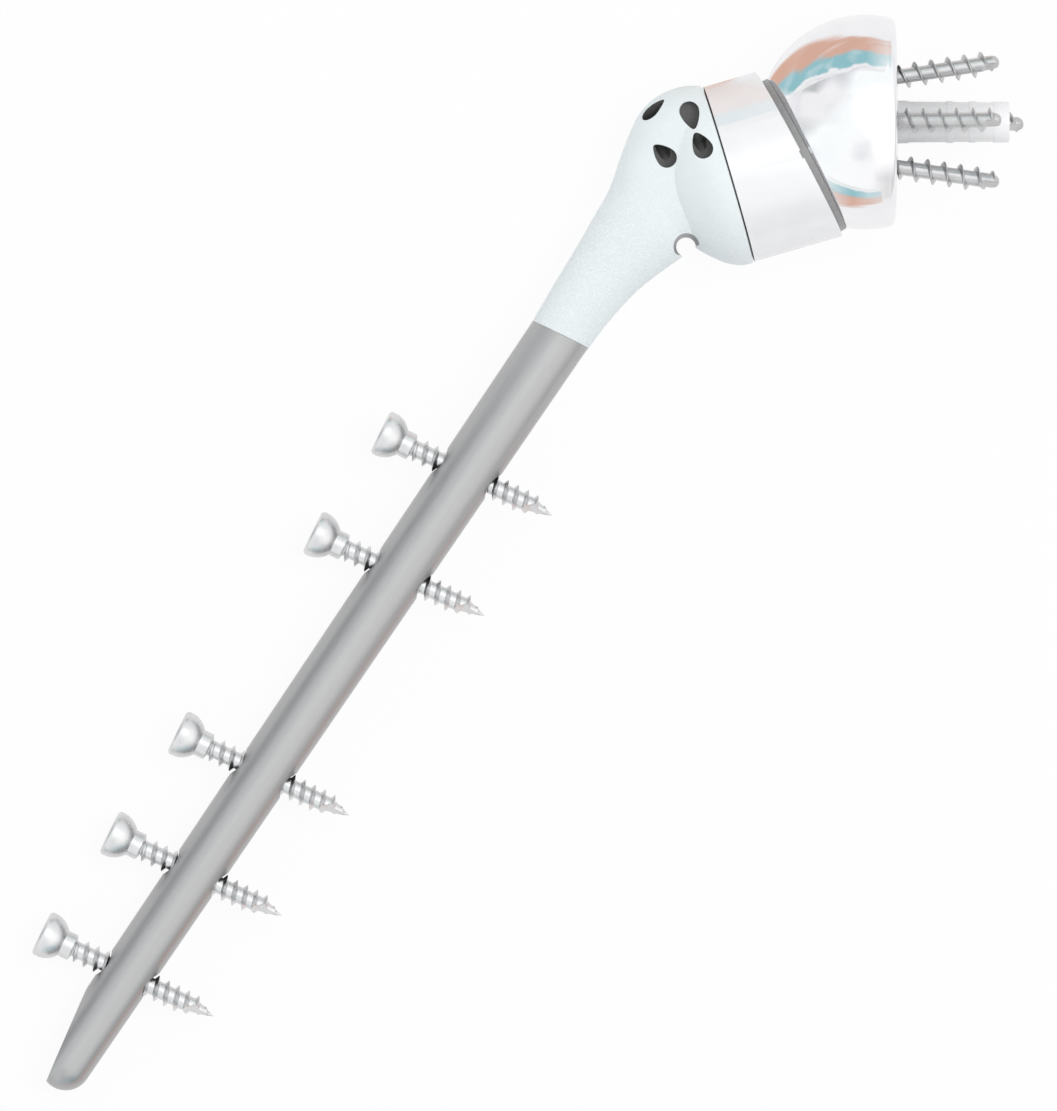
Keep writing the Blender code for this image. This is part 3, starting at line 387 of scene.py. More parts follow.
def cut(target, tool, operation="DIFFERENCE"):
    """Takes the tool away from the target, or adds it, and then throws the tool away."""
    modifier = target.modifiers.new("cut", "BOOLEAN")
    modifier.operation = operation
    modifier.solver = "EXACT"
    modifier.material_mode = "TRANSFER"
    modifier.object = tool
    settle(target)
    bpy.data.objects.remove(tool, do_unlink=True)


def faces_of(item):
    return "%s: %d faces" % (item.name, len(item.data.polygons))


print("pieces can be made and cut")

# %% [markdown]
# ## The humeral stem
#
# The stem is one forging. A slightly tapered round shaft, flattened on one side of the
# tip, swells into a flat-sided body under a round collar. The body is lofted through
# rounded sections that lean more and more until they lie along the collar. The table
# below holds those sections: the outer edge and its height, the inner edge and its
# height, half the thickness and how square it is. Heights count from the collar's
# centre, and a smooth curve runs through the rows.

# %% Sizes of the stem
TIP_RADIUS = 4.5 * MM
SHAFT_TOP_RADIUS = 5.4 * MM
SHAFT_LENGTH = 160.0 * MM
TIP_FLAT_LENGTH = 17.9 * MM
TIP_FLAT_END_OFFSET = 1.2 * MM
COLLAR_RADIUS = 16.2 * MM
COLLAR_RIM_WIDTH = 0.8 * MM
COLLAR_RECESS = 0.5 * MM
CONE_DEPTH = 12.0 * MM
SOCKET_RADIUS = 5.3 * MM
SOCKET_DEPTH = 11.5 * MM
FIT_GAP = 0.3 * MM
STEM_AROUND = 80
ROUND = 2.0
BODY_SECTIONS_MM = (
    (-5.4, -41.3, 5.4, -41.3, 5.4, 2.0),
    (-5.9, -34.3, 5.85, -33.8, 5.8, 2.0),
    (-6.3, -26.3, 6.9, -26.8, 6.5, 2.1),
    (-6.8, -19.8, 8.7, -21.1, 7.4, 2.2),
    (-7.3, -14.3, 10.2, -17.1, 8.3, 2.3),
    (-8.7, -9.1, 11.0, -14.4, 9.0, 2.35),
    (-9.8, -4.3, 14.6, -12.5, 9.9, 2.35),
    (-10.3, 0.1, 17.6, -10.9, 11.0, 2.3),
    (-9.3, 4.1, 18.9, -10.4, 12.2, 2.2),
    (-7.0, 7.5, 19.5, -10.2, 13.4, 2.1),
    (-4.3, 9.6, 19.5, -10.3, 14.3, 2.05),
)


def section(outer, outer_height, inner, inner_height, thickness, squareness):
    """A rounded ring across the body, from its lateral to its medial edge."""
    start = Vector((outer, 0.0, outer_height))
    end = Vector((inner, 0.0, inner_height))
    ring = []
    for i in range(STEM_AROUND):
        across, deep = math.cos(math.tau * i / STEM_AROUND), math.sin(math.tau * i / STEM_AROUND)
        run = math.copysign(abs(across) ** (2.0 / squareness), across)
        depth = math.copysign(abs(deep) ** (2.0 / squareness), deep)
        ring.append((start + end) / 2.0 + (end - start) / 2.0 * run + Vector((0.0, thickness * depth, 0.0)))
    return ring


def shaft_radius(height):
    return TIP_RADIUS + (SHAFT_TOP_RADIUS - TIP_RADIUS) * (height - TIP_RADIUS) / (SHAFT_LENGTH - TIP_RADIUS)


def smooth_rows(rows, steps):
    """A smooth curve through the rows, with steps values for each span."""
    last = len(rows) - 1
    result = []
    for i in range(last):
        before, after = rows[max(i - 1, 0)], rows[min(i + 2, last)]
        for step in range(steps):
            t = step / steps
            values = []
            for a, b, c, d in zip(before, rows[i], rows[i + 1], after):
                bend = (2 * a - 5 * b + 4 * c - d) * t * t + (3 * b - a - 3 * c + d) * t ** 3
                values.append(0.5 * (2 * b + (c - a) * t + bend))
            result.append(values)
    return result + [list(rows[last])]


print("sections through the body:", len(BODY_SECTIONS_MM))

# %% [markdown]
# ## Two finishes on one stem
#
# The shaft is blasted to an even satin. The upper body wears a porous coat that bone can
# grow into, pale and grainy, and it ends in a clean slanted edge. Both live in one
# material: a plane across the stem decides which colour, roughness and relief apply.
# The coat's grain fades towards the collar, where it was wiped smoother.

# %% The stem's material
COAT_EDGE = STEM @ (Vector((0.0, 0.0, 160.65)) * MM)
COAT_WAY = (STEM_UP - MEDIAL * 0.14).normalized()
COAT_EDGE_BLUR = 0.04 * MM
COAT_THICKNESS = 1.2
GRAIN_END = STEM @ (Vector((0.0, 0.0, 196.0)) * MM)
GRAIN_FADE = 14.0 * MM
stem_metal, skin = new_finish("stem_metal")
level = along(add("ShaderNodeTexCoord").outputs["Object"], COAT_WAY)
edge_level, grain_level = COAT_EDGE.dot(COAT_WAY), GRAIN_END.dot(COAT_WAY)
coat = between(level, edge_level - COAT_EDGE_BLUR, edge_level + COAT_EDGE_BLUR)
grainy = between(level, grain_level - GRAIN_FADE, grain_level, 1.0, 0.4)
satin = grain(0.35 * MM, 1.4, 12.0, STEM_UP)["Tone"]
coarse = grain(0.24 * MM, 2.3)
clouds = grain(9.0 * MM, 1.2)["Tone"]
shaft_colour = blended(satin, (0.42, 0.42, 0.425), (0.465, 0.465, 0.465))
coat_tone = blended(coarse["Tone"], (0.75, 0.825, 0.835), (0.93, 0.985, 0.99))
coat_soft = blended(clouds, (0.83, 0.895, 0.90), (0.90, 0.96, 0.965))
coat_base = blended(maths("MULTIPLY", grainy, 0.75), coat_soft, coat_tone)
# Painted glints: bright specks in the coat's colour, strongest where the grain is.
painted_glint_share = maths("MULTIPLY", coarse["Sparkle"], grainy, 0.8)
coat_colour = blended(painted_glint_share, coat_base, (0.95, 0.98, 0.99))
feed(skin["Base Color"], blended(coat, shaft_colour, coat_colour))
feed(skin["Metallic"], between(coat, 0.0, 1.0, 0.85, 0.05))
shaft_rough = between(satin, *GRAIN_SPAN, 0.28, 0.35)
rough = add("ShaderNodeMix", {0: coat, 2: shaft_rough, 3: 0.62}, data_type="FLOAT")
feed(skin["Roughness"], rough.outputs[0])
height = maths("ADD", maths("MULTIPLY", coarse["Tone"], grainy, coat), maths("MULTIPLY", coat, COAT_THICKNESS))
relief(skin, height, 0.06 * MM)
print("stem material:", len(tree.nodes), "nodes")

# %% Loft the stem and join its collar
TIP_STEPS = 12
SHAFT_STEPS = 80
SPAN_STEPS = 10
COLLAR_EDGE_MM = ((0.22, 0.0), (0.06, -0.07), (0.0, -0.22))
COLLAR_BACK_MM = ((16.2, -0.8), (15.9, -2.64), (14.5, -5.16), (11.4, -8.52), (8.03, -10.8), (5.5, -12.0))
stem_rings = []
for i in range(1, TIP_STEPS + 1):
    lift = -math.pi / 2.0 + math.pi / 2.0 * i / TIP_STEPS
    dome, height = TIP_RADIUS * math.cos(lift), TIP_RADIUS + TIP_RADIUS * math.sin(lift)
    stem_rings.append(section(-dome, height, dome, height, dome, ROUND))
for i in range(1, SHAFT_STEPS):
    height = TIP_RADIUS + (SHAFT_LENGTH - TIP_RADIUS) * i / SHAFT_STEPS
    radius = shaft_radius(height)
    stem_rings.append(section(-radius, height, radius, height, radius, ROUND))
level = COLLAR_CENTRE.z
for outer, outer_drop, inner, inner_drop, thickness, squareness in smooth_rows(BODY_SECTIONS_MM, SPAN_STEPS):
    stem_rings.append(section(outer * MM, level + outer_drop * MM, inner * MM, level + inner_drop * MM,
                              thickness * MM, squareness))
step_radius = COLLAR_RADIUS - COLLAR_RIM_WIDTH
collar_profile = [(0.0, -COLLAR_RECESS), (step_radius, -COLLAR_RECESS), (step_radius, 0.0)]
collar_profile += [(COLLAR_RADIUS - inset * MM, z * MM) for inset, z in COLLAR_EDGE_MM]
collar_profile += metres(smooth_rows(COLLAR_BACK_MM, 8)) + [(0.0, -CONE_DEPTH)]
stem = piece("stem", loft(stem_rings), STEM, stem_metal)
cut(stem, piece("collar", turned(collar_profile, 112), FACE, stem_metal), "UNION")
print(faces_of(stem))

# %% [markdown]
# ## Holes in the stem
#
# The surgeon ties tendons to the stem through drop-shaped holes near the collar, and a
# round notch with flared ends crosses the inner edge for a wire. Screws cross the shaft
# lower down. Each hole is a cutter that carries a dark painted shade, and the notch's
# cutter a grey one. The Boolean carries that paint over to the new walls, so the holes
# come out darker than the skin, as the shade inside them would. The notch's cutter is
# turned by a hair, so that none of its corners meets an edge of the body, where the
# Boolean could fail.

# %% The socket for the tray's post, and the drop-shaped holes
BOLT_BORE_RADIUS = 2.3 * MM
BOLT_BORE_DEPTH = 18.8 * MM
SOCKET_TAPER = 0.4 * MM
SUTURE_RADIUS = 1.75 * MM
SUTURE_DEPTH = 4.6 * MM
SUTURE_APPROACH = 5.0 * MM
SUTURE_AROUND = 48
SUTURE_NARROWING = 0.38
LINK_RADIUS = 1.2 * MM
SUTURE_HOLES_MM = (
    ((-12.3, -10.1, -4.8), (1.0, 0.0, 0.0), 3.4, 0.0),
    ((-5.1, -14.0, -4.2), (-0.98, 0.0, -0.2), 3.2, 0.0),
    ((-14.1, -5.6, -11.3), (-0.51, 0.0, 0.86), 3.0, 45.0),
    ((-5.3, -9.8, -10.7), (-0.86, 0.0, -0.51), 3.2, 0.0),
)
socket_bore = turned([
    (0.0, COLLAR_RECESS), (SOCKET_RADIUS, COLLAR_RECESS), (SOCKET_RADIUS, 0.0),
    (SOCKET_RADIUS - SOCKET_TAPER, -SOCKET_DEPTH), (BOLT_BORE_RADIUS, -SOCKET_DEPTH),
    (BOLT_BORE_RADIUS, -BOLT_BORE_DEPTH), (0.0, -BOLT_BORE_DEPTH)], 64)
cut(stem, piece("socket", socket_bore, FACE, bore_metal))


def drop_hole(mouth, inward, pointing, reach):
    """A drill with a drop-shaped section, its point to one side."""
    point_way = (pointing - inward * pointing.dot(inward)).normalized()
    side_way = inward.cross(point_way)
    outline = []
    for across, up, _ in circle(1.0, 0.0, SUTURE_AROUND):
        length = reach if across > 0.0 else SUTURE_RADIUS
        narrow = 1.0 - SUTURE_NARROWING * max(across, 0.0) ** 1.5
        outline.append((length * across, SUTURE_RADIUS * up * narrow))
    ends = (mouth - inward * SUTURE_APPROACH, mouth + inward * SUTURE_DEPTH)
    return loft([[end + point_way * u + side_way * v for u, v in outline] for end in ends])


def link_hole(start, end):
    """A round passage that joins two holes at their floors."""
    way = end - start
    shape = rod(LINK_RADIUS, 0.0, way.length, 24)
    shape.transform(Matrix.Translation(start) @ way.to_track_quat("Z", "Y").to_matrix().to_4x4())
    return shape


for side in (1.0, -1.0):
    flip = Vector((1.0, side, 1.0))
    floors = []
    for mouth, pointing, reach, lean in SUTURE_HOLES_MM:
        inward = Vector((math.sin(math.radians(lean)), math.cos(math.radians(lean)), 0.0)) * flip
        start = Vector(mouth) * MM * flip
        drill = drop_hole(start, inward, Vector(pointing), reach * MM)
        cut(stem, piece("drill", drill, COLLAR, bore_metal))
        floors.append(start + inward * (SUTURE_DEPTH - LINK_RADIUS))
    for start, end in (floors[:2], floors[2:]):
        cut(stem, piece("link", link_hole(start, end), COLLAR, bore_metal))
print(faces_of(stem))

# %% Notch, dimple, flat tip and cross holes
CROSS_HEIGHTS_MM = (23.9, 45.4, 66.8, 109.5, 130.9)
CROSS_ANGLE = math.radians(81.9)
CROSS_HEAD_REACH = 16.9 * MM
CROSS_LENGTH = 33.9 * MM
CROSS_HOLE_RADIUS = 2.6 * MM
CROSS_HOLE_AROUND = 40
NOTCH_PLACE = Vector((9.75, 0.0, 185.9)) * MM
NOTCH_AROUND = 52
NOTCH_FLARE_MM = ((2.3, -16.2), (2.3, -4.6), (2.1, -4.0), (1.85, -3.2), (1.75, -2.0),
                  (1.75, 2.0), (1.85, 3.2), (2.1, 4.0), (2.3, 4.6), (2.3, 16.2))
CLEAR_TURN = 0.02
DIMPLE_PLACE = Vector((-7.1, 0.0, 184.3)) * MM
lying = Matrix.Rotation(math.pi / 2.0, 4, "X")
notch = loft([circle(radius * MM, depth * MM, NOTCH_AROUND) for radius, depth in NOTCH_FLARE_MM])
notch.transform(Matrix.Rotation(CLEAR_TURN, 4, "Z"))
# The notch's walls get the grey painted shade.
cut(stem, piece("notch", notch, STEM @ Matrix.Translation(NOTCH_PLACE) @ lying, rim_shade_paint))
dimple_place = STEM @ Matrix.Translation(DIMPLE_PLACE) @ Matrix.Rotation(math.pi / 2.0, 4, "Y")
cut(stem, piece("dimple", rod(0.7 * MM, -1.2 * MM, 1.2 * MM, 24), dimple_place, bore_metal))

flat_top = -shaft_radius(TIP_FLAT_LENGTH)
flat_slope = math.atan2(-TIP_FLAT_END_OFFSET - flat_top, TIP_FLAT_LENGTH)
flat_size = Vector((4.0 * SHAFT_TOP_RADIUS, 4.0 * SHAFT_TOP_RADIUS, 2.0 * TIP_FLAT_LENGTH))
flat_tool = box(flat_size, (-flat_size.x / 2.0, 0.0, -flat_size.z / 2.0 + FIT_GAP))
flat_place = Matrix.Translation((flat_top, 0.0, TIP_FLAT_LENGTH)) @ Matrix.Rotation(-flat_slope, 4, "Y")
cut(stem, piece("flat", flat_tool, STEM @ flat_place, stem_metal))


def cross_place(height_mm):
    """At the outer face of a cross screw, with Z along it to its point."""
    face = Vector((0.0, 0.0, height_mm * MM)) - leaning(CROSS_ANGLE) * CROSS_HEAD_REACH
    return tilted(face, CROSS_ANGLE)


for height_mm in CROSS_HEIGHTS_MM:
    bore = rod(CROSS_HOLE_RADIUS, 0.0, CROSS_LENGTH, CROSS_HOLE_AROUND)
    cut(stem, piece("bore", bore, cross_place(height_mm), bore_metal))
print(faces_of(stem))

# %% [markdown]
# ## Tray and liner
#
# The tray is a round bar cut by two planes that are not parallel: it seats on the collar
# and tips the liner towards the ball. Its side is polished, and the white room it mirrors
# is painted into its colour as a painted reflection. Its rim is painted grey, and so is
# the white plastic liner in it, as painted shade. The tray is lofted between rings that
# lie on the two planes, its rim set a little lower and outwards as in the picture. The
# liner is turned about its own axis.

# %% The tray's rings
TRAY_RADIUS = 16.1 * MM
TRAY_ROUND = 0.25 * MM
RIM_DISTANCE = 12.5 * MM
TRAY_FACE = 13.15 * MM
TRAY_SHIFT = 0.55 * MM
LINER_RADIUS = 15.0 * MM
LINER_WALL = 3.0 * MM
RUN_GAP = 0.04 * MM
BALL_RADIUS = 19.0 * MM
TRAY_AROUND = 144
TRAY_EDGE_STEPS = 5
collar_local = Matrix.Translation(FACE_CENTRE) @ Matrix.Rotation(FACE_ANGLE, 4, "Y")
rim_way = leaning(LINER_ANGLE)
tray_base = FACE_CENTRE + FACE_WAY * FIT_GAP
tray_rim = BALL_LOCAL - rim_way * TRAY_FACE + Vector((-rim_way.z, 0.0, rim_way.x)) * TRAY_SHIFT
bar_way = (tray_rim - tray_base).normalized()
bar_local = Matrix.Translation(tray_base) @ Matrix.Rotation(math.atan2(bar_way.x, bar_way.z), 4, "Y")


def ring_on_plane(radius, bar, point, normal):
    """Where a round bar crosses a plane."""
    along_bar = bar.to_3x3() @ Vector((0.0, 0.0, 1.0))
    ring = []
    for corner in circle(radius, 0.0, TRAY_AROUND):
        start = bar @ Vector(corner)
        ring.append(start + along_bar * ((point - start).dot(normal) / along_bar.dot(normal)))
    return ring


pad = COLLAR_RADIUS - COLLAR_RIM_WIDTH - FIT_GAP
tray_rings = [
    ring_on_plane(pad, collar_local, tray_base - FACE_WAY * COLLAR_RECESS, FACE_WAY),
    ring_on_plane(pad, collar_local, tray_base, FACE_WAY),
    ring_on_plane(TRAY_RADIUS, bar_local, tray_base, FACE_WAY),
]
for i in range(TRAY_EDGE_STEPS + 1):
    lift = math.pi / 2.0 * i / TRAY_EDGE_STEPS
    level = tray_rim - rim_way * TRAY_ROUND * (1.0 - math.sin(lift))
    radius = TRAY_RADIUS - TRAY_ROUND * (1.0 - math.cos(lift))
    tray_rings.append(ring_on_plane(radius, bar_local, level, rim_way))
print("tray rings:", len(tray_rings))

# %% Make the tray and cut the liner's seat
RIM_SHADE_SLOT, SHADE_SLOT = 1, 2
SEAT_PLAY = 0.06 * MM
POST_MM = ((0.0, 0.8), (5.0, 0.8), (5.0, 0.0), (4.6, -10.9), (4.3, -11.2), (0.0, -11.2))
KEY_SIZE = (1.5 * MM, 4.0 * MM, 0.6 * MM)
BOLT_HEAD_RADIUS = 3.6 * MM
tray_shape = loft(tray_rings)
tray_shape.faces.ensure_lookup_table()
# The pad under the tray gets the dark painted shade, so the gap at the collar looks dark.
for face in tray_shape.faces[:2 * TRAY_AROUND]:
    face.material_index = SHADE_SLOT
# The rim face gets the grey painted shade.
tray_shape.faces[-1].material_index = RIM_SHADE_SLOT
tray = piece("tray", tray_shape, STEM, tray_alloy, rim_shade_paint, bore_metal)
cut(tray, piece("post", turned(metres(POST_MM), 64), FACE, rim_shade_paint), "UNION")
seat_radius = BALL_RADIUS + RUN_GAP + LINER_WALL + FIT_GAP
seat_wall = LINER_RADIUS + SEAT_PLAY
seat = [(0.0, -RIM_DISTANCE + LINER_WALL), (seat_wall, -RIM_DISTANCE + LINER_WALL)]
seat += arc((0.0, 0.0), seat_radius, -math.acos(seat_wall / seat_radius), -math.pi / 2.0, 24)
cut(tray, piece("seat", turned(seat, TRAY_AROUND), LINER, rim_shade_paint))
cut(tray, piece("key", box(KEY_SIZE, (0.0, -TRAY_RADIUS, -TRAY_FACE)), LINER, tray_alloy))
cut(tray, piece("bolt_bore", rod(BOLT_HEAD_RADIUS, 0.8 * MM, RIM_DISTANCE, 48), COLLAR, bore_metal))
print(faces_of(tray))

# %% Turn the liner
ARC_STEPS = 40
LIP_FLAT, LIP_EDGE, LIP_DROP = 0.14 * MM, 0.04 * MM, 0.1 * MM
inner = BALL_RADIUS + RUN_GAP
outer = inner + LINER_WALL
lip = -math.acos((LINER_RADIUS - LIP_FLAT) / inner)
lip_level = inner * math.sin(lip)
liner_profile = arc((0.0, 0.0), inner, -math.pi / 2.0, lip, ARC_STEPS)
liner_profile += [(LINER_RADIUS - LIP_EDGE, lip_level), (LINER_RADIUS, lip_level - LIP_DROP)]
liner_profile += arc((0.0, 0.0), outer, -math.acos(LINER_RADIUS / outer), -math.pi / 2.0, ARC_STEPS)
# The liner takes its grey painted shade.
liner = settle(piece("liner", turned(liner_profile, TRAY_AROUND), LINER, liner_plastic))
print(faces_of(liner))

# %% [markdown]
# ## The ball
#
# The ball is a hollow part of a sphere in polished cobalt-chromium. A mirror shows every
# facet, so the dome gets many steps, and the edge at its flat back is a true round. A
# bolt goes through the apex and pulls the ball onto the baseplate.

# %% Turn the ball
BALL_BACK = 5.1 * MM
BALL_ROUND = 1.3 * MM
ROUND_START = math.radians(11.0)
BALL_WALL = 3.8 * MM
HUB_RADIUS = 4.6 * MM
APEX_HOLE_RADIUS = 3.7 * MM
PLATE_RADIUS = 13.5 * MM
PLATE_LEDGE = 1.2 * MM
PLATE_FRONT = 0.5 * MM
SEAT_LEVEL = PLATE_FRONT - FIT_GAP
bolt_floor = -BALL_RADIUS + BALL_WALL + FIT_GAP
round_level = BALL_BACK - BALL_ROUND
back_radius = math.sqrt(BALL_RADIUS ** 2 - round_level ** 2)
apex = -math.pi / 2.0 + math.asin(APEX_HOLE_RADIUS / BALL_RADIUS)
ball_profile = arc((0.0, 0.0), BALL_RADIUS, apex, math.asin(round_level / BALL_RADIUS), 90)
ball_profile += arc((back_radius - BALL_ROUND, round_level), BALL_ROUND, ROUND_START, math.pi / 2.0, 10)
hollow = BALL_RADIUS - BALL_WALL
ledge_radius = PLATE_RADIUS - PLATE_LEDGE
ball_profile += [(PLATE_RADIUS + FIT_GAP, BALL_BACK), (PLATE_RADIUS + FIT_GAP, SEAT_LEVEL),
                 (ledge_radius, SEAT_LEVEL)]
ball_profile += arc((0.0, 0.0), hollow, -math.acos(ledge_radius / hollow), -math.acos(HUB_RADIUS / hollow), 16)
ball_profile += [(HUB_RADIUS, SEAT_LEVEL), (BOLT_BORE_RADIUS, SEAT_LEVEL), (BOLT_BORE_RADIUS, bolt_floor),
                 (APEX_HOLE_RADIUS, bolt_floor)]
ball = settle(piece("ball", turned(ball_profile, 180, closed=True), BALL, mirror_alloy))
print(faces_of(ball))

# %% [markdown]
# ## Baseplate and cage
#
# The baseplate fills the ball's back. Its central cage stands in the bone: a hollow post
# with a few raised bands, pale from blasting. The bands are steps in the turned profile.
# A painted shade runs over the finish, from a greyer foot beside the ball to a nearly
# white end.

# %% The cage's material
CAGE_LENGTH = 20.3 * MM
PLATE_BACK = BALL_BACK - 0.1 * MM
cage_metal, skin = new_finish("cage_metal")
place = add("ShaderNodeTexCoord").outputs["Object"]
cage_start = BALL.translation.dot(RIGHT) + PLATE_BACK
run = between(along(place, RIGHT), cage_start, cage_start + CAGE_LENGTH)
blasted = grain(0.3 * MM, 1.2)["Tone"]
fine = grain(0.25 * MM, 1.4, 30.0, UP)["Tone"]
# Painted shade: greyer at the foot beside the ball, paler towards the cage's free end.
cage_pale_painted_shade = blended(run, (0.83, 0.84, 0.84), (0.97, 0.97, 0.97))
cage_grey_painted_shade = blended(run, (0.74, 0.75, 0.75), (0.95, 0.95, 0.96))
feed(skin["Base Color"], blended(blasted, cage_grey_painted_shade, cage_pale_painted_shade))
feed(skin["Metallic"], 0.1)
roughen(skin, fine, 0.42, 0.55)
relief(skin, blasted, 0.01 * MM)
print("cage runs from grey to pale over", round(CAGE_LENGTH / MM, 1), "mm")

# %% Turn the baseplate and drill its screw holes
CAGE_BANDS_MM = ((0.0, 2.5), (9.2, 10.4), (13.2, 14.4), (17.5, 20.3))
CAGE_RADIUS = 3.8 * MM
CAGE_TAPER = 0.2 * MM
CAGE_PROUD = 0.15 * MM
CAGE_END_RADIUS = 3.3 * MM
BAND_SLOPE = 0.04 * MM
PLATE_EDGE = 0.5 * MM
SCREW_HOLE_MM = ((0.0, 2.55), (2.55, 2.55), (2.55, -0.7), (3.4, -2.45), (3.9, -3.1), (3.9, -7.5), (0.0, -7.5))
PLATE_SCREW_OFFSET = 7.9 * MM
PLATE_SCREW_SPLAY = math.radians(8.5)
PLATE_TURNS = {"superior": math.pi, "inferior": 0.0, "anterior": -math.pi / 2.0, "posterior": math.pi / 2.0}


def cage_radius(level):
    return CAGE_RADIUS - CAGE_TAPER * level / CAGE_LENGTH


def plate_screw_place(turn):
    """Where a plate screw crosses the plate's back, with Z along it to its tip."""
    step = Matrix.Translation((PLATE_SCREW_OFFSET, 0.0, PLATE_BACK))
    return BALL @ Matrix.Rotation(turn, 4, "Z") @ step @ Matrix.Rotation(PLATE_SCREW_SPLAY, 4, "Y")


edge_radius = PLATE_RADIUS - PLATE_EDGE
plate_profile = [(BOLT_BORE_RADIUS, PLATE_FRONT), (edge_radius, PLATE_FRONT)]
plate_profile += arc((edge_radius, PLATE_FRONT + PLATE_EDGE), PLATE_EDGE, -math.pi / 2.0, 0.0, 5)[1:]
plate_profile += arc((edge_radius, PLATE_BACK - PLATE_EDGE), PLATE_EDGE, 0.0, math.pi / 2.0, 5)
for start_mm, end_mm in CAGE_BANDS_MM:
    start, end = start_mm * MM, end_mm * MM
    if start > 0.0:
        plate_profile.append((cage_radius(start) - CAGE_PROUD, PLATE_BACK + start))
    plate_profile.append((cage_radius(start), PLATE_BACK + start + BAND_SLOPE))
    plate_profile.append((cage_radius(end), PLATE_BACK + end - BAND_SLOPE))
    if end < CAGE_LENGTH:
        plate_profile.append((cage_radius(end) - CAGE_PROUD, PLATE_BACK + end))
plate_profile += [(CAGE_END_RADIUS, PLATE_BACK + CAGE_LENGTH), (BOLT_BORE_RADIUS, PLATE_BACK + CAGE_LENGTH)]
plate = piece("baseplate", turned(plate_profile, 96, closed=True), BALL, cage_metal)
for turn in PLATE_TURNS.values():
    cut(plate, piece("screw_hole", turned(metres(SCREW_HOLE_MM), 48), plate_screw_place(turn), bore_metal))
print(faces_of(plate))

# %% [markdown]
# ## Screws from one tree
#
# Nine screws of two kinds differ in length, thread and place. A turned blank carries the
# head and a plain core. The Geometry Nodes tree then pushes the blank's skin out along a
# helix, fades the ridge at both ends, and presses a flute into the tip. It sets one
# screw at each point of a small mesh of places. The blank has as many rows in each pitch
# as it has corners around, so the thread's crest runs along edges and stays sharp.

# %% The screw tree and its named inputs
SCREW_SIZES = ("Pitch", "Thread Height", "Start", "End", "Crest Share", "Root Share", "Hollow", "Shift",
               "Fade In", "Fade Out", "Flute Start", "Flute Depth")
SCREW_INPUTS = [("Blank", "Geometry"), ("Places", "Object"), *[(name, "Float") for name in SCREW_SIZES],
                ("Flute Way", "Vector"), ("Material", "Material")]
screw_tree = tree = bpy.data.node_groups.new("threaded_screws", "GeometryNodeTree")
for name, kind in SCREW_INPUTS:
    tree.interface.new_socket(name, in_out="INPUT", socket_type="NodeSocket" + kind)
tree.interface.new_socket("Screws", in_out="OUTPUT", socket_type="NodeSocketGeometry")
given = add("NodeGroupInput").outputs
position = add("GeometryNodeInputPosition").outputs[0]
apart = add("ShaderNodeSeparateXYZ", {0: position}).outputs
print("inputs of the screw tree:", len(SCREW_INPUTS))

# %% The ridge: how near each point is to the helix, and how much of the thread is there
CREST_LEVEL = 0.81
around = maths("DIVIDE", maths("ARCTAN2", apart[1], apart[0]), math.tau)
since = maths("SUBTRACT", apart[2], given["Start"])
until = maths("SUBTRACT", given["End"], apart[2])
rise = maths("DIVIDE", since, given["Pitch"])
wound = maths("ADD", maths("SUBTRACT", rise, around), given["Shift"])
phase = maths("FRACT", maths("ADD", wound, 0.5 - CREST_LEVEL))
distance = maths("ABSOLUTE", maths("SUBTRACT", phase, 0.5))
slope = between(distance, given["Crest Share"], given["Root Share"], 1.0, 0.0)
ridge = maths("POWER", slope, given["Hollow"])
faded_in = maths("DIVIDE", since, given["Fade In"])
faded_out = maths("DIVIDE", until, given["Fade Out"])
shown = maths("MAXIMUM", 0.0, maths("MINIMUM", faded_in, faded_out, 1.0))
push = maths("MULTIPLY", ridge, shown, given["Thread Height"])
flat_place = add("ShaderNodeCombineXYZ", {0: apart[0], 1: apart[1]}).outputs[0]
outward = add("ShaderNodeVectorMath", {0: flat_place}, operation="NORMALIZE").outputs[0]
ridge_push = scaled(outward, push)
wound_blank = add("GeometryNodeSetPosition", {"Geometry": given["Blank"], "Offset": ridge_push}).outputs[0]
print("nodes so far:", len(tree.nodes))

# %% The flute, and a screw at each place
flute_run = maths("MAXIMUM", 0.0, maths("SUBTRACT", given["Flute Start"], apart[2]))
flute_room = maths("ADD", given["Flute Depth"], flute_run)
reach = along(position, given["Flute Way"])
excess = maths("MAXIMUM", 0.0, maths("SUBTRACT", reach, flute_room))
flute_push = scaled(given["Flute Way"], maths("MULTIPLY", excess, -1.0))
fluted = add("GeometryNodeSetPosition", {"Geometry": wound_blank, "Offset": flute_push}).outputs[0]
places = add("GeometryNodeObjectInfo", {"Object": given["Places"]}).outputs["Geometry"]
aim = add("GeometryNodeInputNamedAttribute", {"Name": "aim"}, data_type="FLOAT_VECTOR").outputs[0]
turn = add("FunctionNodeEulerToRotation", {0: aim}).outputs[0]
spread = add("GeometryNodeInstanceOnPoints", {"Points": places, "Instance": fluted, "Rotation": turn})
solid = add("GeometryNodeRealizeInstances", {0: spread.outputs[0]})
dressed = add("GeometryNodeSetMaterial", {"Geometry": solid.outputs[0], "Material": given["Material"]})
add("NodeGroupOutput", {0: dressed.outputs[0]})
print("nodes in the screw tree:", len(tree.nodes))

# %% Blanks and places for the tree
SCREW_AROUND = 24
SOCKET_FLATS = 6
CRISP_ANGLE = 40.0


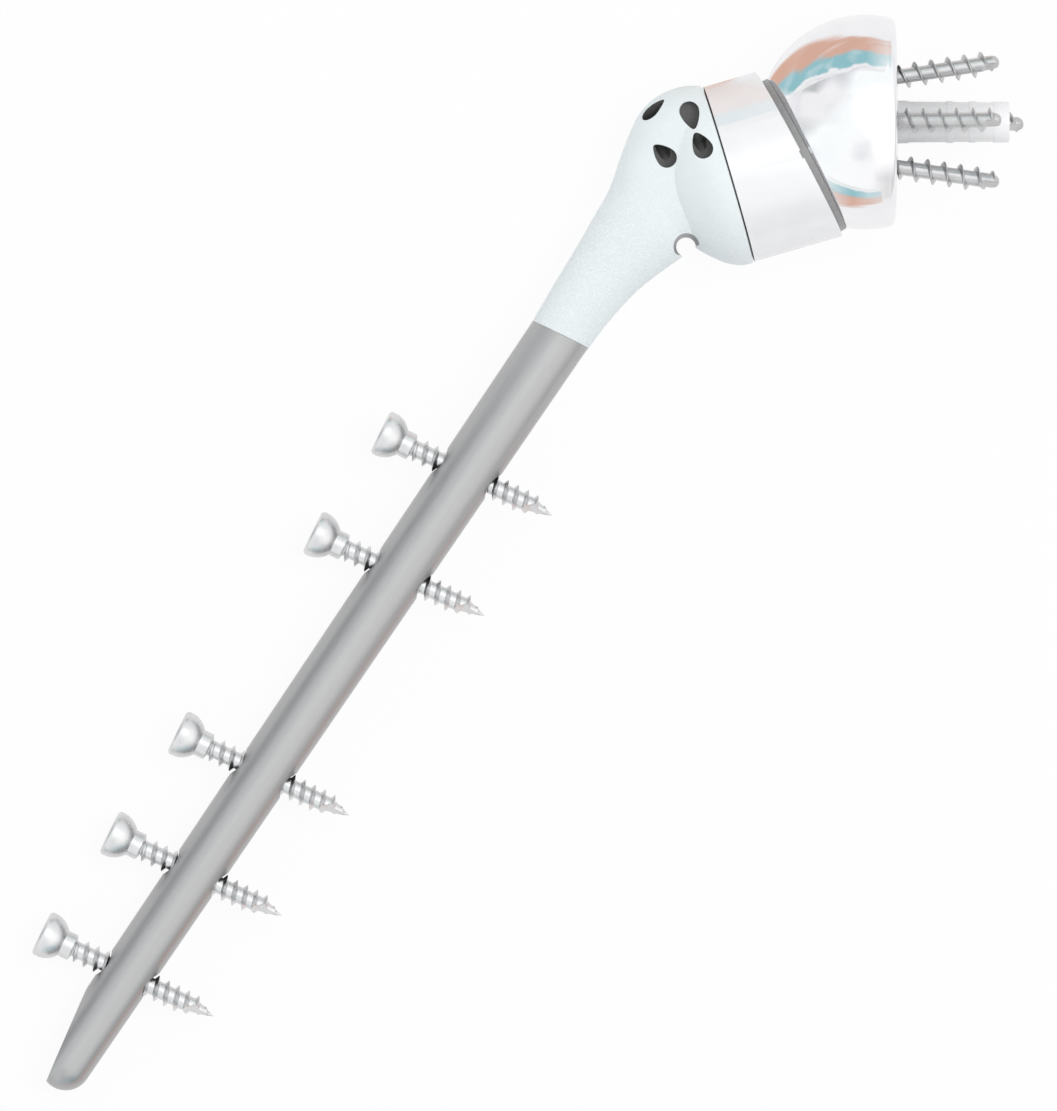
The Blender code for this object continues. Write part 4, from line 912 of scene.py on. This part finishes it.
def blank(profile):
    """A turned solid in triangles whose diagonals climb the way the thread does.

    Its first two rings are the driver socket, which has flats.
    """
    shape = bmesh.new()
    poles = [shape.verts.new((0.0, 0.0, profile[end][1])) for end in (0, -1)]
    rings = [circle(r, z, SCREW_AROUND, SOCKET_FLATS if number < 2 else 0)
             for number, (r, z) in enumerate(profile[1:-1])]
    loops = [[shape.verts.new(point) for point in ring] for ring in rings]
    for i in range(SCREW_AROUND):
        j = (i + 1) % SCREW_AROUND
        shape.faces.new((poles[0], loops[0][j], loops[0][i]))
        shape.faces.new((poles[1], loops[-1][i], loops[-1][j]))
        for lower, upper in zip(loops, loops[1:]):
            shape.faces.new((lower[i], lower[j], upper[j]))
            shape.faces.new((lower[i], upper[j], upper[i]))
    return shape


def rows(start, end, pitch, radius):
    """Levels of the threaded part, as many in a pitch as there are corners around."""
    step = pitch / SCREW_AROUND
    return [(radius(start + step * i), start + step * i) for i in range(int((end - start) / step) + 1)]


def set_places(name, frames):
    """A mesh of loose points, each with the turn of its screw."""
    mesh = bpy.data.meshes.new(name)
    mesh.from_pydata([spot.translation for spot in frames], [], [])
    turns = mesh.attributes.new("aim", "FLOAT_VECTOR", "POINT")
    for i, spot in enumerate(frames):
        turns.data[i].vector = spot.to_euler()
    return new_object(name, mesh)


def make_screws(name, profile, frames, material, **sizes):
    """Runs the tree on a blank and keeps the result as a plain mesh."""
    item = piece(name, blank(profile), Matrix())
    spots = set_places(name + "_places", frames)
    modifier = item.modifiers.new("screws", "NODES")
    modifier.node_group = screw_tree
    inputs = [socket for socket in screw_tree.interface.items_tree if socket.in_out == "INPUT"]
    named = {socket.name: socket.identifier for socket in inputs}
    modifier[named["Places"]] = spots
    modifier[named["Material"]] = material
    for key, value in sizes.items():
        modifier[named[key.replace("_", " ")]] = value
    settle(item, CRISP_ANGLE)
    bpy.data.objects.remove(spots, do_unlink=True)
    return item


print("a screw is", SCREW_AROUND, "corners round")

# %% [markdown]
# ## Bright turned screws
#
# Both kinds of screw are turned from bar. The cross screws are left bright, and the
# plate's screws are a duller grey. Fine marks from the tool break up the shine, and
# slow clouds of tone stop it from looking like a single colour.

# %% The screws' material
def screw_finish(name, dark, light):
    """Turned metal between two greys, very slightly blue."""
    material, skin = new_finish(name)
    rings = grain(0.12 * MM, 1.4)["Tone"]
    cloud = grain(2.2 * MM, 1.4)["Tone"]
    colour = blended(cloud, (dark, dark, dark * 1.01), (light, light, light * 1.005))
    feed(skin["Base Color"], colour)
    feed(skin["Metallic"], 1.0)
    roughen(skin, rings, 0.24, 0.34)
    relief(skin, rings, 0.004 * MM)
    return material


screw_metal = screw_finish("screw_metal", 0.66, 0.79)
plate_screw_metal = screw_finish("plate_screw_metal", 0.48, 0.65)
print("screw finishes:", screw_metal.name, plate_screw_metal.name)

# %% The five cross screws
CROSS_PITCH = 1.98 * MM
CROSS_CORE = 1.45 * MM
CROSS_TAPER = 4.0 * MM
CROSS_START = 6.5 * MM
CROSS_SOCKET_MM = ((0.0, 1.3), (1.5, 1.3), (1.5, 0.0), (3.75, 0.0), (4.1, 0.35), (4.15, 0.45))
CROSS_HEAD_MM, CROSS_NECK_MM = 4.15, 2.4
HEAD_START, HEAD_DEPTH, NECK_LEVEL = 0.9 * MM, 3.4 * MM, 4.6 * MM
HEAD_STEPS = 12
FLUTE_WAY = (0.85, -0.5, 0.0)


def cross_core_radius(level):
    pointed = level > CROSS_LENGTH - CROSS_TAPER
    return CROSS_CORE * (CROSS_LENGTH - level) / CROSS_TAPER if pointed else CROSS_CORE


back_end = math.acos(CROSS_NECK_MM / CROSS_HEAD_MM)
back_depth = HEAD_DEPTH / math.sin(back_end)
cross_profile = metres(CROSS_SOCKET_MM)
for i in range(HEAD_STEPS + 1):
    bend = back_end * i / HEAD_STEPS
    cross_profile.append((CROSS_HEAD_MM * MM * math.cos(bend), HEAD_START + back_depth * math.sin(bend)))
cross_profile += [(CROSS_NECK_MM * MM, NECK_LEVEL), (CROSS_NECK_MM * MM, CROSS_START - 0.35 * MM)]
cross_profile += rows(CROSS_START, CROSS_LENGTH - 0.1 * MM, CROSS_PITCH, cross_core_radius)
cross_profile.append((0.0, CROSS_LENGTH))
cross_screws = make_screws(
    "cross_screws", cross_profile, [cross_place(height) for height in CROSS_HEIGHTS_MM], screw_metal,
    Pitch=CROSS_PITCH, Thread_Height=0.85 * MM, Start=CROSS_START, End=CROSS_LENGTH - 0.8 * MM,
    Crest_Share=0.015, Root_Share=0.24, Hollow=1.25, Shift=0.4, Fade_In=CROSS_PITCH * 0.4,
    Fade_Out=3.2 * MM, Flute_Start=CROSS_LENGTH - 4.2 * MM, Flute_Depth=0.45 * MM, Flute_Way=FLUTE_WAY)
print(faces_of(cross_screws))

# %% The four plate screws, each with its own reach and start of thread
PLATE_PITCH = 2.95 * MM
PLATE_CORE = 1.3 * MM
PLATE_TIP = 1.44 * MM
PLATE_REACH_MM = {"superior": 18.8, "inferior": 18.8, "anterior": 18.8, "posterior": 23.6}
PLATE_SHIFT = {"superior": 0.51, "inferior": 0.39, "anterior": 0.9, "posterior": 0.0}
PLATE_HEAD_MM = ((0.0, -2.1), (1.5, -2.1), (1.5, -3.4), (2.8, -3.4), (3.1, -2.75), (2.25, -1.0), (2.25, -0.6))


def plate_core_radius(level, reach):
    """Straight, then round at the tip."""
    round_start = reach - PLATE_TIP
    share = max((level - round_start) / (reach - round_start), 0.0)
    return PLATE_CORE * math.sqrt(max(1.0 - share ** 2, 0.0))


plate_screws = []
for name, turn in PLATE_TURNS.items():
    reach = PLATE_REACH_MM[name] * MM
    threaded = rows(0.0, reach - 0.02 * MM, PLATE_PITCH, lambda level: plate_core_radius(level, reach))
    plate_screws.append(make_screws(
        "plate_screw_" + name, metres(PLATE_HEAD_MM) + threaded + [(0.0, reach)], [plate_screw_place(turn)],
        plate_screw_metal, Pitch=PLATE_PITCH, Thread_Height=0.95 * MM, Start=0.0, End=reach - 0.25 * MM,
        Crest_Share=0.03, Root_Share=0.115, Hollow=0.8, Shift=PLATE_SHIFT[name],
        Fade_In=PLATE_PITCH * 0.4, Fade_Out=PLATE_PITCH * 0.6, Flute_Start=reach - 2.6 * MM,
        Flute_Depth=0.7 * MM, Flute_Way=Matrix.Rotation(-turn, 3, "Z") @ Vector(FLUTE_WAY)))
print("plate screws:", [faces_of(item) for item in plate_screws])

# %% [markdown]
# ## Standing the pieces in for the solids
#
# Each finer piece rides on its body and hides the solid that it stands for. The bolts and
# caps keep their solids, which are right as they are, and get a satin finish.

# %% Rides, replacements and slots
STANDS_FOR = (
    (stem, "humeral_side", "stem_metal", ("humeral_stem",)),
    (tray, "humeral_side", "polished_alloy", ("humeral_tray",)),
    (cross_screws, "humeral_side", "screw_metal", tuple("cross_screw_%d" % i for i in range(1, 6))),
    (liner, "liner", "liner_plastic", ("humeral_liner",)),
    (ball, "ball", "polished_alloy", ("glenosphere",)),
    (plate, "glenoid_side", "plate_metal", ("glenoid_baseplate",)),
)
for item, body, slot_name, nodes in STANDS_FOR:
    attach(item, body)
    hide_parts(*nodes)
for item in plate_screws:
    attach(item, "glenoid_side")
    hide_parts("base" + item.name)
KEPT_NODES = ["tray_bolt", "glenosphere_bolt"] + ["screw_cap_" + name for name in PLATE_TURNS]
for node_name in KEPT_NODES:
    slots = bpy.data.objects[node_name].data.materials
    slots.clear()
    slots.append(bolt_metal)
print("kept solids:", KEPT_NODES)

# %% [markdown]
# ## The room
#
# A mirror has no colour of its own: it shows the room. So the room is white with soft
# grey clouds, and three cards stand round the ball, seen only in reflections. The floor
# and the sky are white for the camera. For reflections they are a little dimmer, and the
# lamps light the object at a plain level, so the floor keeps a faint shadow.

# %% White floor that keeps the shadow
CAMERA_GLOW = 0.93
MIRROR_GLOW = 0.6


def bare_paint(name):
    """A material with an empty tree, in which the helpers now work."""
    global tree
    material = bpy.data.materials.new(name)
    material.use_nodes = True
    tree = material.node_tree
    tree.nodes.clear()
    return material


def finish_paint(share, first, second):
    """Mixes two shaders and ends the paint's tree."""
    mixed = add("ShaderNodeMixShader", {0: share, 1: first.outputs[0], 2: second.outputs[0]})
    add("ShaderNodeOutputMaterial", {"Surface": mixed.outputs[0]})


def kinds_of_ray():
    """One for the camera's own rays, and one for rays that come off or through a skin."""
    rays = add("ShaderNodeLightPath").outputs
    return rays["Is Camera Ray"], maths("MAXIMUM", rays["Is Glossy Ray"], rays["Is Transmission Ray"])


floor_paint = bare_paint("floor_paint")
from_camera, mirrored = kinds_of_ray()
seen = maths("MAXIMUM", maths("MULTIPLY", from_camera, CAMERA_GLOW), maths("MULTIPLY", mirrored, MIRROR_GLOW))
paint = add("ShaderNodeBsdfDiffuse", {"Color": (0.92, 0.92, 0.92, 1.0)})
glow = add("ShaderNodeEmission", {"Color": (1.0, 1.0, 1.0, 1.0), "Strength": 1.0})
finish_paint(seen, paint, glow)
floor_shape = bmesh.new()
bmesh.ops.create_grid(floor_shape, x_segments=1, y_segments=1, size=4.0)
floor = piece("floor", floor_shape, Matrix(), floor_paint)
print("floor size in m:", tuple(round(value, 1) for value in floor.dimensions))

# %% Sky: white for the camera, soft clouds in reflections, plain light elsewhere
ROOM_ACROSS = ((0.0, 0.42), (0.05, 0.27), (0.12, 0.42), (0.22, 0.66), (0.8, 0.66), (0.9, 0.48), (1.0, 0.44))
KEY_WAY = (FRONT + RIGHT * 0.22 + UP * 0.2).normalized()
SIDE_WAY = (FRONT * 0.68 + RIGHT * 0.69 - UP * 0.25).normalized()
ROOM_STRENGTH = 1.6
PLAIN_LIGHT = (0.64, 0.64, 0.65)


def spotlight(way, centre, edge, falloff):
    """One in the middle of a round patch of sky, fading to its edge."""
    return maths("POWER", between(along(way, centre), edge, 1.0), falloff)


room = bpy.data.worlds.new("room")
bpy.context.scene.world = room
room.use_nodes = True
tree = room.node_tree
way = add("ShaderNodeTexCoord").outputs["Generated"]
stops = []
for spot, level in ROOM_ACROSS:
    cool = level * (1.04 if spot < 0.5 else 1.0)
    stops.append((spot, (level, cool, cool)))
room_tone = ramped(between(along(way, MEDIAL), -1.0, 1.0), stops)
cloud = add("ShaderNodeTexNoise", {"Vector": way, "Scale": 1.6, "Detail": 2.0}).outputs["Fac"]
clouded = blended(between(cloud, 0.52, 0.68, 0.0, 0.4), room_tone, (0.44, 0.43, 0.46))
brighter = blended(spotlight(way, SIDE_WAY, 0.7, 1.3), clouded, (0.85, 0.85, 0.85))
bright = blended(spotlight(way, KEY_WAY, 0.8, 3.0), brighter, (1.1, 1.1, 1.1))
from_camera, mirrored = kinds_of_ray()
lit = blended(mirrored, PLAIN_LIGHT, scaled(bright, ROOM_STRENGTH))
sky = tree.nodes["Background"].inputs
feed(sky["Color"], blended(from_camera, lit, (1.0, 1.0, 1.0)))
feed(sky["Strength"], 1.0)
print("sky nodes:", len(tree.nodes))

# %% [markdown]
# ## Cards for the mirrors
#
# In the picture the ball mirrors peach and teal bands. They are made as in a studio, by
# bent cards with soft edges that only reflections can see. Two of them are striped, and
# a plain white one stands at the side. Each corner of a card keeps two values: how far
# it is across the stripes, and how much the card has faded there.

# %% The cards' paint
PEACH = (0.74, 0.46, 0.36)
TEAL = (0.31, 0.58, 0.63)
ROOM_WHITE = (0.96, 0.96, 0.97)
THIN_GREY = (0.76, 0.77, 0.79)
HAZE_GREY = (0.86, 0.86, 0.90)
CARD_STRIPES = ((0.0, ROOM_WHITE), (0.1, PEACH), (0.4, PEACH), (0.5, TEAL), (0.8, TEAL),
                (0.85, ROOM_WHITE), (0.9, ROOM_WHITE), (0.94, THIN_GREY), (1.0, ROOM_WHITE))
NO_STRIPES = 2.0
card_paint = bare_paint("card_paint")
place = add("ShaderNodeTexCoord").outputs["Object"]
patch = add("ShaderNodeTexNoise", {"Vector": place, "Scale": 12.0, "Detail": 2.0}).outputs["Fac"]
haze = add("ShaderNodeTexNoise", {"Vector": place, "Scale": 18.0, "Detail": 1.0}).outputs["Fac"]
across = add("ShaderNodeAttribute", attribute_name="across").outputs["Fac"]
fade = add("ShaderNodeAttribute", attribute_name="fade").outputs["Fac"]
striped = ramped(maths("ADD", across, between(patch, 0.3, 0.7, -0.07, 0.07)), CARD_STRIPES)
pale = blended(between(haze, 0.5, 0.68), ROOM_WHITE, HAZE_GREY)
plain = maths("GREATER_THAN", across, 1.5)
paler = maths("MAXIMUM", plain, between(patch, 0.5, 0.7, 0.0, 0.35))
light = add("ShaderNodeEmission", {"Color": blended(paler, striped, pale), "Strength": 1.0})
finish_paint(fade, light, add("ShaderNodeBsdfTransparent"))
print("stripes:", len(CARD_STRIPES))

# %% Three cards round the ball, seen only in reflections
CARD_REACH = 300.0 * MM
SIDE_REACH = 140.0 * MM
CARD_LIFT = 1.5 * MM
CARD_ROWS = 12
HIGH_EDGES = ((165, -34, 0), (157, -32, 6), (140, -24, 22), (115, -14, 34), (90, -9, 37), (70, -5, 36))
LOW_EDGES = ((-125, -12, 16), (-100, -11, 15), (-78, -9, 12))
SIDE_EDGES = [(azimuth, -4 if azimuth > 150 else 24, 66) for azimuth in range(118, 191, 8)]


def card(name, edges, reach, has_stripes=True):
    """A bent card: for each azimuth, its lower and upper elevation as seen from the ball.

    A striped card fades at its ends only, and a plain one on all sides.
    """
    shape = bmesh.new()
    across = shape.verts.layers.float.new("across")
    fade = shape.verts.layers.float.new("fade")
    columns = []
    for number, (azimuth, low, high) in enumerate(edges):
        spot = RIGHT * math.cos(math.radians(azimuth)) + UP * math.sin(math.radians(azimuth))
        side = min(number, len(edges) - 1 - number) / 2.0
        column = []
        for i in range(CARD_ROWS + 1):
            lift = math.radians(low + (high - low) * i / CARD_ROWS)
            ray = spot * math.cos(lift) + FRONT * math.sin(lift)
            room_below = (BALL_CENTRE.z - CARD_LIFT) / -ray.z if ray.z < 0.0 else 1.0
            corner = shape.verts.new(BALL_CENTRE + ray * min(reach, room_below))
            corner[across] = i / CARD_ROWS if has_stripes else NO_STRIPES
            inside = min(1.0, side, i / 3, (CARD_ROWS - i) / 4)
            corner[fade] = max(0.0, 0.6 - 2.0 * side) if has_stripes else 1.0 - inside
            column.append(corner)
        columns.append(column)
    for left, right in zip(columns, columns[1:]):
        for i in range(CARD_ROWS):
            shape.faces.new((left[i], right[i], right[i + 1], left[i + 1]))
    item = piece(name, shape, Matrix(), card_paint)
    item.visible_camera = item.visible_diffuse = item.visible_shadow = item.visible_transmission = False
    return item


cards = [card("card_high", HIGH_EDGES, CARD_REACH), card("card_low", LOW_EDGES, CARD_REACH),
         card("card_side", SIDE_EDGES, SIDE_REACH, False)]
print("cards:", [faces_of(item) for item in cards])

# %% [markdown]
# ## Two lamps
#
# The picture is lit softly and almost evenly, a little brighter from the front right. A
# large key lamp gives the faint shadow its direction, and a weak fill lamp opens the
# other side. Neither shows in the mirrors, where the sky does that work.


# %% Lamps
def lamp(name, spot, size, power):
    """A square soft lamp that faces the middle of the stem's upper end."""
    data = bpy.data.lights.new(name, "AREA")
    data.size = size
    data.energy = power
    item = new_object(name, data)
    target = COLLAR.translation
    place = target + RIGHT * spot[0] + UP * spot[1] + FRONT * spot[2]
    item.visible_glossy = False
    item.matrix_world = Matrix.Translation(place) @ (place - target).to_track_quat("Z", "Y").to_matrix().to_4x4()
    return item


lamps = [lamp("key", (0.3, 0.05, 0.95), 0.5, 3.6), lamp("fill", (-0.8, 0.5, 0.8), 0.6, 1.0)]
print("lamps:", [item.name for item in lamps])

# %% [markdown]
# ## The camera
#
# The photograph looks straight down on the front of the shoulder from far away. A long
# lens gives that flat look. One millimetre at the ball is 5.65 pixels of the picture,
# and the ball's centre is at a known pixel, so the camera's place follows from sums.

# %% Place the camera
PICTURE_WIDTH, PICTURE_HEIGHT = 1057, 1111
PIXEL = 1.0 * MM / 5.65
BALL_PIXEL = (866, 122)
middle = (BALL_CENTRE + RIGHT * (PICTURE_WIDTH / 2.0 - BALL_PIXEL[0]) * PIXEL
          - UP * (PICTURE_HEIGHT / 2.0 - BALL_PIXEL[1]) * PIXEL)
camera_data = bpy.data.cameras.new("camera")
camera_data.lens = 400.0
camera_data.sensor_width = 36.0
away = PICTURE_HEIGHT * PIXEL * camera_data.lens / camera_data.sensor_width
camera = new_object("camera", camera_data)
camera.matrix_world = Matrix.Translation(middle + FRONT * away) @ Matrix((RIGHT, UP, FRONT)).transposed().to_4x4()
bpy.context.scene.camera = camera
bpy.context.scene.view_settings.view_transform = "Standard"
print("camera stands", round(away, 2), "m away")
